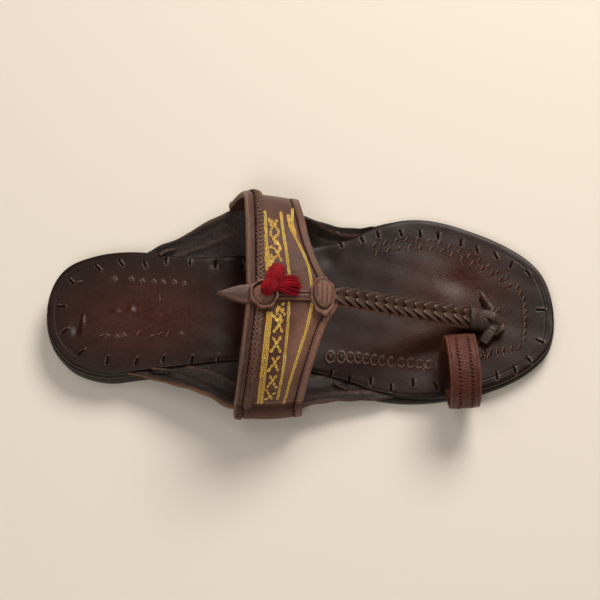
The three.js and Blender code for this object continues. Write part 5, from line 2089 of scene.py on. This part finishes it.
@dataclass
class ToeKnot:
    """Sleeve round the end of the plait and the crossed strips at the post."""

    shop: Workshop
    span: float = 10
    rise: float = 8
    widest: float = 6

    STRIPS = (
        (0.42, ((-0.45, 1.75, 0.125), (-0.1, 1.05, 0.4), (0.16, 0.42, 0.625))),
        (0.8, ((-0.42, 0.3, 0.94), (0.12, 0.06, 1), (0.75, -0.18, 0.375))),
        (0.3, ((0.05, 0.24, 0.675), (0.3, 0.5, 0.675), (0.5, 0.8, 0.4))),
        (0.3, ((-0.12, 0.3, 0.675), (0.08, 0.55, 0.7), (0.24, 0.84, 0.45))),
        (0.42, ((0.62, -0.1, 0.425), (0.56, -0.5, 0.575), (0.2, -0.75, 0.3))),
        (0.95, ((0.3, -0.06, 0.575), (-0.06, -0.62, 0.575), (-0.45, -1.2, 0.225))),
    )

    def strip(self, number: int, width: float, places: Rows) -> tuple[Array, list]:
        """Rings and faces of one strip of the knot.

        Args:
            number: The strip's number.
            width: Its width as a share of the widest.
            places: Rows of its path, as shares of the span and the rise.

        Returns:
            The rings and the faces.
        """
        form = self.shop.form
        points = []
        for x, y, height in places:
            px = form.post_x + self.span * x
            floor = float(form.insole_bottom(px)) + form.insole
            points.append((px, form.thong_end_y + self.span * y, floor + self.rise * height))
        path = smooth_path(points, 40)
        ups = np.tile(UP, (40, 1))
        taper = 0.5 * self.widest * width * (1 - 0.25 * np.linspace(-1, 1, 40) ** 4)
        section = [(a, 1.05 * b) for a, b in STRIP_SECTION]
        ridge = 0.9 * np.cos(np.linspace(-1, 1, 40) * (22 if number == 5 else 7) + number)
        rings = strip_rings(path, ups, taper, section)
        rings[:, 3:8, 2] += 0.15 * ridge[:, None]
        return rings, loft_faces(40, len(section))

    def sleeve(self) -> Thing:
        """Makes the sleeve.

        Returns:
            The sleeve.
        """
        form = self.shop.form
        path = form.thong_path(500)
        end = form.post_x - form.sleeve_to_post
        part = path[(path[:, 0] >= end - form.sleeve_length) & (path[:, 0] <= end)]
        part = even_path(part, 28)
        tangent = heading(part)
        up = unit(np.cross(tangent, np.array([0, 1.0, 0])))
        up *= np.sign(up[:, 2:])
        side = np.cross(up, tangent)
        angle = round_angles(36)
        reach = form.thong_width / 2 + form.gap
        high = form.thong_wall / 2 + 2.6 + form.gap
        low = form.thong_wall / 2 + form.gap
        layers = []
        for grow in (1.5, 0.0):
            across = (reach + grow) * powered(np.cos(angle), 0.6)
            height = (np.where(np.sin(angle) > 0, high, low) + grow) * powered(np.sin(angle), 0.7)
            fold = 0.12 * np.sin(np.linspace(0, 9, 28))[:, None] if grow else 0
            layers.append(swept(part, side, up, across, height + fold))
        rings = np.concatenate([layers[0], layers[1][::-1], layers[0][:1]])
        marks = {"wear": np.full(rings.shape[:2], 0.3)}
        return self.shop.loft("knot_sleeve", rings, marks, KNOT, Slot.KNOT, capped=False, merge=1e-6)

    def build(self) -> None:
        """Makes the sleeve and the strips."""
        self.sleeve()
        points, faces = joined([self.strip(k, *row) for k, row in enumerate(self.STRIPS)])
        marks = {"wear": np.full(len(points), 0.4)}
        thing = self.shop.raw_object("toe_knot_strips", points, faces, marks=marks)
        self.shop.finish(thing, KNOT, Slot.KNOT, ["toe_knot"])


OVAL_PROFILE = ((1, 0.25), (0.99, 0.4), (0.94, 0.47), (0.84, 0.36), (0.8, 0.36), (0.76, 0.62), (0.6, 0.86),
                (0.3, 1), (0.02, 1))
ROUND_PROFILE = ((1, 0.3), (0.98, 0.7), (0.93, 0.95), (0.86, 1), (0.8, 0.7), (0.76, 0.25), (0.66, 0.5),
                 (0.4, 0.85), (0.02, 0.9))


@dataclass
class LeatherButton:
    """A round or oval leather button on the band, lofted from rings of heights."""

    shop: Workshop
    node: str
    place: tuple[float, float]
    halves: tuple[float, float]
    height: float
    profile: Rows
    ribs: int = 0
    ruffles: int = 0
    lip: float = 0
    segments: int = 96

    def build(self) -> Thing:
        """Makes the button.

        Returns:
            The button.
        """
        form = self.shop.form
        base = form.strip_height + form.gap
        angle = round_angles(self.segments)
        radii, heights = (np.array(self.profile, float)[:, k] for k in (0, 1))
        fine = np.linspace(0, 1, 40)
        at = np.linspace(0, 1, len(radii))
        radii, heights = np.interp(fine, at, radii), np.interp(fine, at, heights)
        rings, valleys = [], []
        for radius, height in [(0.02, 0), (0.93, 0), *zip(radii, heights)]:
            ruffle = (0.05 * np.cos(self.ruffles * angle) + 0.02 * np.sin(4 * angle + 1)) * bool(self.ruffles)
            lip = self.lip * np.maximum(0, -np.sin(angle)) ** 3
            out = radius * (1 + (ruffle + lip) * radius**6)
            bow = 1 + 0.5 * (out * np.sin(angle)) ** 2
            wave = np.cos(self.ribs * math.pi * out * np.cos(angle) * bow)
            wave = wave * step(-radius, -0.75, -0.6) * bool(self.ribs)
            # Painted shade in the valleys between the ribs.
            valleys.append(0.75 * step(-wave, 0.35, 0.95))
            z = base + self.height * height * (1 + 0.09 * wave)
            ring, _ = form.on_arch(self.place[0] + self.halves[0] * out * np.cos(angle),
                                   self.place[1] + self.halves[1] * out * np.sin(angle), z)
            rings.append(ring)
        rings = np.array(rings)
        # Lighter the higher the point; painted shade in the ring's groove as well.
        wear = np.zeros(rings.shape[:2])
        wear[2:] = (0.35 + 0.5 * heights)[:, None]
        shade = np.array(valleys)
        shade[2:] += (0.8 * bump(radii - 0.78, 0.06))[:, None]
        marks = {"wear": wear, "shade": shade}
        return self.shop.loft(self.node + "_leather", rings, marks, STRAP, Slot.STRAP, [self.node])


@dataclass
class Tassel:
    """Crimson pompom: bundles of loose thread over soft cores, one of them folded into a bulb."""

    shop: Workshop
    strands: int = 120
    thread: float = 0.34

    BUNDLES = (
        (((272, 286, 6.0, 2.2), (280, 284, 7.0, 4.2), (290, 285.5, 6.0, 5.6), (300.5, 288, 3.8, 6.0)), 0.4),
        (((271, 285, 7.0, 2.2), (273, 278, 8.6, 4.0), (277, 271, 8.2, 4.7), (281.5, 265, 6.4, 4.3)), 0.5),
        (((275, 281, 8.4, 1.8), (270, 284.5, 10.6, 3.6), (267.2, 290, 10, 3.9), (266.4, 296, 6.6, 2.6)), 1),
    )

    def bundle(self, draw: np.random.Generator, chart: Rows, closing: float) -> tuple[list, list]:
        """Tubes of one bundle: its core and its threads.

        Args:
            draw: Source of the random draws.
            chart: Rows of x, y, height and half width.
            closing: How far its end closes, from 0 to 1.

        Returns:
            Points and faces of each tube.
        """
        form = self.shop.form
        spots = []
        for x, y, height, _ in chart:
            spots.append(self.shop.view.meet([(x, y)], lambda a, b, h=height: form.arch_height(a, b) + h,
                                             self.shop.shift)[0])
        path = smooth_path(spots, 14)
        t = np.linspace(0, 1, 14)
        wide = np.interp(t, np.linspace(0, 1, len(chart)), [row[3] for row in chart])
        side, up = crosswise(path)
        core = tube(path, wide * 0.8 * np.sqrt(np.clip(1.02 - t**4, 0, 1)), 16, 0.62)
        tubes = [core]
        for k in range(self.strands):
            reach = math.sqrt((k + 0.5) / self.strands)
            turn = k * GOLDEN_ANGLE + draw.normal(0, 0.1)
            end = 1 - 0.16 * draw.uniform() - 0.1 * closing * reach**2
            pull = 1 - closing * 0.55 * t**4
            off = reach * wide * pull * (1 + 0.1 * draw.normal() * t)
            line = path + (off * math.cos(turn))[:, None] * side + (0.66 * off * math.sin(turn))[:, None] * up
            line += np.outer(np.sin(t * math.pi * 1.5), draw.normal(0, 0.22, 3))
            line = even_path(line[: max(int(end * 14), 3)], 10)
            tubes.append(tube(line, np.full(10, self.thread) * (1 - 0.4 * np.linspace(0, 1, 10) ** 6), 5))
        return tubes

    def build(self) -> Thing:
        """Makes the bundles.

        Returns:
            The tassel.
        """
        draw = np.random.default_rng(SEED)
        tubes, shade = [], []
        for chart, closing in self.BUNDLES:
            for tube_points, tube_faces in self.bundle(draw, chart, closing):
                tubes.append((tube_points, tube_faces))
                shade.append(np.full(tube_points.size // 3, draw.uniform(0, 0.55)))
        points, faces = joined(tubes)
        thing = self.shop.raw_object("tassel", points, faces, marks={"shade": np.concatenate(shade)})
        return self.shop.finish(thing, CRIMSON, Slot.CRIMSON, ["pompom"])


@dataclass
class GoldEmbroidery:
    """Chain-stitched lines and crosses on the band."""

    shop: Workshop
    repeater: Repeater

    LINES = (
        ((260.9, 214), (262.9, 246), (266.2, 269)),
        ((263.9, 213), (266.1, 246), (269.5, 268)),
        ((267.2, 313), (264.6, 335), (261.1, 369), (257.9, 399)),
        ((270.3, 313), (267.8, 335), (264.5, 369), (261.2, 399)),
        ((280, 214), (282.6, 235), (286, 255), (288.4, 277)),
        ((288.1, 303), (286.3, 332), (282, 369), (277, 395)),
        ((287.3, 217), (289.2, 228), (293.1, 235), (298.5, 246), (304.6, 258.5), (308.5, 271), (311.2, 290)),
        ((291.6, 211), (291.4, 224), (294, 233)),
        ((311.1, 304), (306.2, 326), (298.5, 350), (289.3, 378), (283.3, 399)),
    )
    MOTIFS = (
        ((268, 220), (270, 225)), ((271, 221), (272.5, 224.5), (276, 221.5)),
        ((273.7, 225.6), (278.3, 232.8), (273.4, 238.9), (269.4, 235.5), (270.3, 228.6), (273.7, 225.6)),
        ((271, 238.6), (277.8, 245.5), (279.4, 249.3)), ((275.5, 242.4), (271, 246.3), (269.4, 247.8)),
        ((276.3, 242.4), (279.8, 247.8), (277, 252.4), (273.7, 249.3)),
        ((278.9, 252.4), (271, 261.6), (268.6, 266.2)), ((274.8, 250.9), (280.4, 260.8)),
        ((271, 254.7), (268.6, 258.5), (272.5, 261.6)),
        ((283.4, 303), (276.5, 309)), ((277, 306), (284, 314.5)), ((275, 311), (282, 309.5)),
        ((275.8, 313.5), (281.2, 316), (277, 320), (273.5, 316.5)),
        ((275, 318), (281, 331)), ((282, 319), (272.5, 331.5)),
        ((271.6, 335.7), (279.6, 351)), ((280.6, 335), (269.5, 351)),
        ((271, 355), (277.4, 369)), ((279, 354), (267, 369.5)),
        ((268.6, 372.5), (275.8, 385.5)), ((276, 372.5), (266.2, 384.5)),
        ((265, 385.5), (271.2, 395.5)), ((274.8, 389), (264.8, 396)),
    )

    def link(self, width: float, length: float) -> Thing:
        """One link of chain stitch: a small loop of thread that narrows at its root.

        Args:
            width: The link's width.
            length: Its length.

        Returns:
            The link.
        """
        t = round_angles(12)
        radius = 0.16 * width
        x = 0.5 * length * np.cos(t)
        y = (0.5 * width - radius) * np.sin(t) * (1 + 0.7 * np.cos(t)) / 1.25
        path = np.stack([x, y, 0.3 - 0.28 * np.cos(t)], axis=1)
        side = unit(np.stack([x, 3 * y, 0 * x], axis=1))
        angle = round_angles(6)
        rings = swept(path, side, np.tile(UP, (12, 1)), radius * np.cos(angle), radius * np.sin(angle))
        wrapped = [[v % 72 for v in face] for face in loft_faces(13, 6, capped=False)]
        # Painted shade at each link's root, where the links overlap.
        dark = np.repeat(np.clip(-1.3 * np.cos(t) - 0.2, 0, 1), 6)
        return self.repeater.unit("chain_link", rings, wrapped, {"shade": dark})

    def build(self) -> None:
        """Makes the lines and the motifs."""
        found = [self.shop.on_band(smooth_path(line, 40), 0.05) for line in self.LINES]
        carrier = self.repeater.carrier("gold_line", [p for p, _ in found], [n for _, n in found])
        self.repeater.repeat("gold_lines", carrier, self.link(1.75, 1.8), GOLD, Slot.GOLD, Spacing=1.6 * MM,
                             Turn_Jitter=0.24, Size_Jitter=0.12)
        found = []
        for motif in self.MOTIFS:
            path = even_path(np.array(motif, float), 24)
            if len(motif) < 4:
                path = path[3:-3]
            found.append(self.shop.on_band(path, 0.1))
        carrier = self.repeater.carrier("gold_motif_line", [p for p, _ in found], [n for _, n in found])
        self.repeater.repeat("gold_motifs", carrier, self.link(1.5, 2.3), GOLD, Slot.GOLD, Spacing=2 * MM,
                             Turn_Jitter=0.22, Size_Jitter=0.12)


@dataclass
class EdgePlait:
    """The fine plait beside the rolled rear edge of the band."""

    shop: Workshop
    repeater: Repeater
    band: InstepBand
    spacing: float = 2.5
    rise: float = 0.85
    thick: float = 0.5
    strand: float = 0.37
    lift: float = 0.95

    def build(self) -> Thing:
        """Makes the plait.

        Returns:
            The plait.
        """
        inset = self.band.piping + 0.5 * self.band.plait + 0.2
        line, up = self.band.line(inset, False, (33, 14), self.lift)
        shape = chevron(self.spacing, 0.56 * self.band.plait, self.rise, self.thick, self.strand)
        piece = self.repeater.unit("edge_strand", *shape)
        carrier = self.repeater.carrier("edge_line", [line], [up])
        return self.repeater.repeat("edge_plait", carrier, piece, EDGE, Slot.STRAP,
                                    Spacing=self.spacing * MM, Turn_Jitter=0.06, Size_Jitter=0.04)


@dataclass
class ClosingLaces:
    """Flat lace ends that lie on the leather, and a near-black lace down in each slit: the lace itself,
    darkened as painted shade deep in the slit.
    """

    shop: Workshop
    repeater: Repeater
    footbed: Footbed

    ENDS = (
        (2.4, 0.6, ((160, 255), (165, 252), (176, 250))),
        (2.2, 0.7, ((328, 233), (334, 232), (341, 236))),
        (1.6, 0.5, ((152, 369), (162, 370), (173, 371))),
        (1.4, 0.6, ((333, 383), (340, 387), (348, 391))),
        (1.8, 0.5, ((303, 394), (309, 394), (315, 392))),
        (1.5, 0.7, ((201, 379), (203, 384), (205, 390))),
        (1.4, 0.7, ((201, 379), (206, 381), (212, 384))),
        (2.4, 0.8, ((185, 240), (196, 234), (214, 229))),
    )

    def build(self) -> None:
        """Makes the lace ends and the laces in the slits."""
        form = self.shop.form
        ends = []
        for width, lift, chart in self.ENDS:
            path = self.shop.on_footbed(smooth_path(chart, 18))
            path[:, 2] += 0.2 + lift * np.sin(np.linspace(0, 2.6, 18))
            taper = 0.5 * width * (1 - 0.6 * np.linspace(0, 1, 18) ** 3)
            ups = np.tile(UP, (18, 1))
            rings = strip_rings(path, ups, taper, STRIP_SECTION, 0.8)
            ends.append((rings, loft_faces(18, len(STRIP_SECTION))))
        points, faces = joined(ends)
        thing = self.shop.raw_object("lace_ends", points, faces, marks={"wear": np.full(len(points), 0.6)})
        self.shop.finish(thing, EAR, Slot.FOOTBED)
        # A near-black lace lies down in each slit: the lace through it, darkened as painted shade deep in the
        # slit.
        places, ways = self.footbed.slits()
        spots = np.concatenate([places, form.insole_top(places[:, 0], places[:, 1])[:, None] - 0.75], axis=1)
        ups = np.tile(UP, (len(spots), 1))
        facing = np.concatenate([ways, np.zeros((len(ways), 1))], axis=1)
        carrier = self.repeater.carrier("slit_spots", [spots], [ups], facing)
        t = np.linspace(-1, 1, 9)
        lace = tube(np.stack([2.1 * t, 0 * t, 0 * t], axis=1), 0.24 * np.sqrt(1.02 - t**2), 8, 1.2)
        piece = self.repeater.unit("slit_lace", *lace)
        self.repeater.repeat("slit_laces", carrier, piece, LACE, Slot.FOOTBED, Turn_Jitter=0.08)


@dataclass
class BorderStitches:
    """Short dark stitches sunk in the scored line of the band's front border."""

    shop: Workshop
    repeater: Repeater
    band: InstepBand
    spacing: float = 2.0

    def build(self) -> Thing:
        """Makes the stitches.

        Returns:
            The stitches.
        """
        line, up = self.band.line(self.band.border + 0.1, True, (20, 20), -0.1)
        t = np.linspace(-1, 1, 7)
        path = np.stack([0.62 * t, 0.12 * t, 0.12 - 0.12 * t**2], axis=1)
        piece = self.repeater.unit("border_stitch", *tube(path, 0.28 * np.sqrt(1.05 - t**2), 6))
        carrier = self.repeater.carrier("border_line", [line], [up])
        return self.repeater.repeat("border_stitches", carrier, piece, LACE, Slot.STRAP,
                                    Spacing=self.spacing * MM, Turn_Jitter=0.05)


@dataclass
class Studio:
    """Pale floor and soft lights round the photograph's camera."""

    shop: Workshop
    floor_half: float = 6
    sky: str = "e9e2d8"
    sky_strength: float = 0.2

    LAMPS = (
        ("key", (0.4, 0.85, 0.95), 0.7, 15, (1, 0.95, 0.88)),
        ("fill", (-0.15, -0.7, 1.1), 0.4, 4, (1, 0.98, 0.95)),
        ("top", (-0.5, 0.1, 1.5), 0.9, 3, (1, 0.98, 0.95)),
    )

    def build(self) -> None:
        """Makes the floor, the lights and the even surroundings."""
        h = self.floor_half
        square = np.array([(-h, -h, 0), (h, -h, 0), (h, h, 0), (-h, h, 0)])
        floor = mesh_object("floor", square, [(0, 1, 2, 3)])
        floor.data.materials.append(self.shop.material(FLOOR))
        for name, place, size, power, colour in self.LAMPS:
            data = bpy.data.lights.new(name, "AREA")
            data.shape = "DISK"
            data.size = size
            data.energy = power
            data.color = colour
            lamp = linked(name, data)
            lamp.location = place
            lamp.rotation_euler = (-Vector(place)).to_track_quat("-Z", "Y").to_euler()
        world = bpy.data.worlds.new("surroundings")
        world.use_nodes = True
        background = world.node_tree.nodes["Background"]
        background.inputs["Color"].default_value = (*srgb(self.sky), 1)
        background.inputs["Strength"].default_value = self.sky_strength
        bpy.context.scene.world = world
        bpy.context.scene.view_settings.view_transform = "Standard"


def sole_layers(shop: Workshop) -> Footbed:
    """Makes the outsole, both heel lifts and the footbed.

    Args:
        shop: The workshop.

    Returns:
        The footbed.
    """
    form = shop.form
    half = form.half
    SoleLeather(shop, "outsole_leather", "outsole", form.edge, (-half, half),
                lambda x, y: form.outsole_top(x), lambda x, y: form.rise(x)).build()
    breast = form.heel_length - half
    centre = (breast - half) / 2
    for level, node in enumerate(("heel_lift_lower", "heel_lift_upper")):
        scale = form.lift_taper ** (1 - level)
        low = level * (form.lift + form.gap)

        def lift_edge(x: Array, side: Side, scale: float = scale) -> Array:
            """Y of a lift's edge.

            Args:
                x: Places along the foot.
                side: The side of the foot.
                scale: The lift's size as a share of the heel's.

            Returns:
                Y at each place.
            """
            full = centre + (x - centre) / scale
            middle = (form.edge(full, Side.LATERAL) + form.edge(full, Side.MEDIAL)) / 2
            return middle + scale * (form.edge(full, side) - middle)

        span = (centre + scale * (-half - centre), centre + scale * (breast - centre))
        SoleLeather(shop, node + "_leather", node, lift_edge, span,
                    lambda x, y, z=low: 0 * x + z + form.lift, lambda x, y, z=low: 0 * x + z,
                    insets=(0, 0.12, 0.35, 0.8, 2, 5, 10), cap_length=38).build()
    inset = form.ledge * 0.15
    footbed = Footbed(shop, "footbed", "insole", form.insole_edge, (inset - half, half - inset),
                      form.insole_top, lambda x, y: form.insole_bottom(x), spacing=0.62,
                      insets=(0, 0.1, 0.3, 0.6, 1.0, *np.arange(1.5, 26.6, 0.52)), inner_rings=12,
                      slot=Slot.FOOTBED, finish=FOOTBED)
    footbed.build()
    return footbed


def main() -> None:
    """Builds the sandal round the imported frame, and the studio round the sandal."""
    logging.basicConfig(level=logging.INFO, format="%(name)s: %(message)s")
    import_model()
    view = Viewpoint()
    view.make_camera()
    shop = Workshop(SandalForm(), view)
    repeater = Repeater(shop)
    footbed = sole_layers(shop)
    for side in Side:
        Ear(shop, side).build()
    band = InstepBand(shop)
    band.build()
    EdgePlait(shop, repeater, band).build()
    BorderStitches(shop, repeater, band).build()
    CentreStrip(shop).build()
    ThongPlait(shop, repeater).build()
    ToeKnot(shop).build()
    ToeLoop(shop).build()
    LeatherButton(shop, "front_button", (10.2, -10.4), (6.6, 9.6), 4.6,
                  OVAL_PROFILE, ribs=5, ruffles=9, lip=0.14).build()
    LeatherButton(shop, "rear_button", (-20.5, -14), (7.4, 7.6), 3.4,
                  ROUND_PROFILE, ruffles=7).build()
    Tassel(shop).build()
    GoldEmbroidery(shop, repeater).build()
    ClosingLaces(shop, repeater, footbed).build()
    Studio(shop).build()


if __name__ == "__main__":
    main()
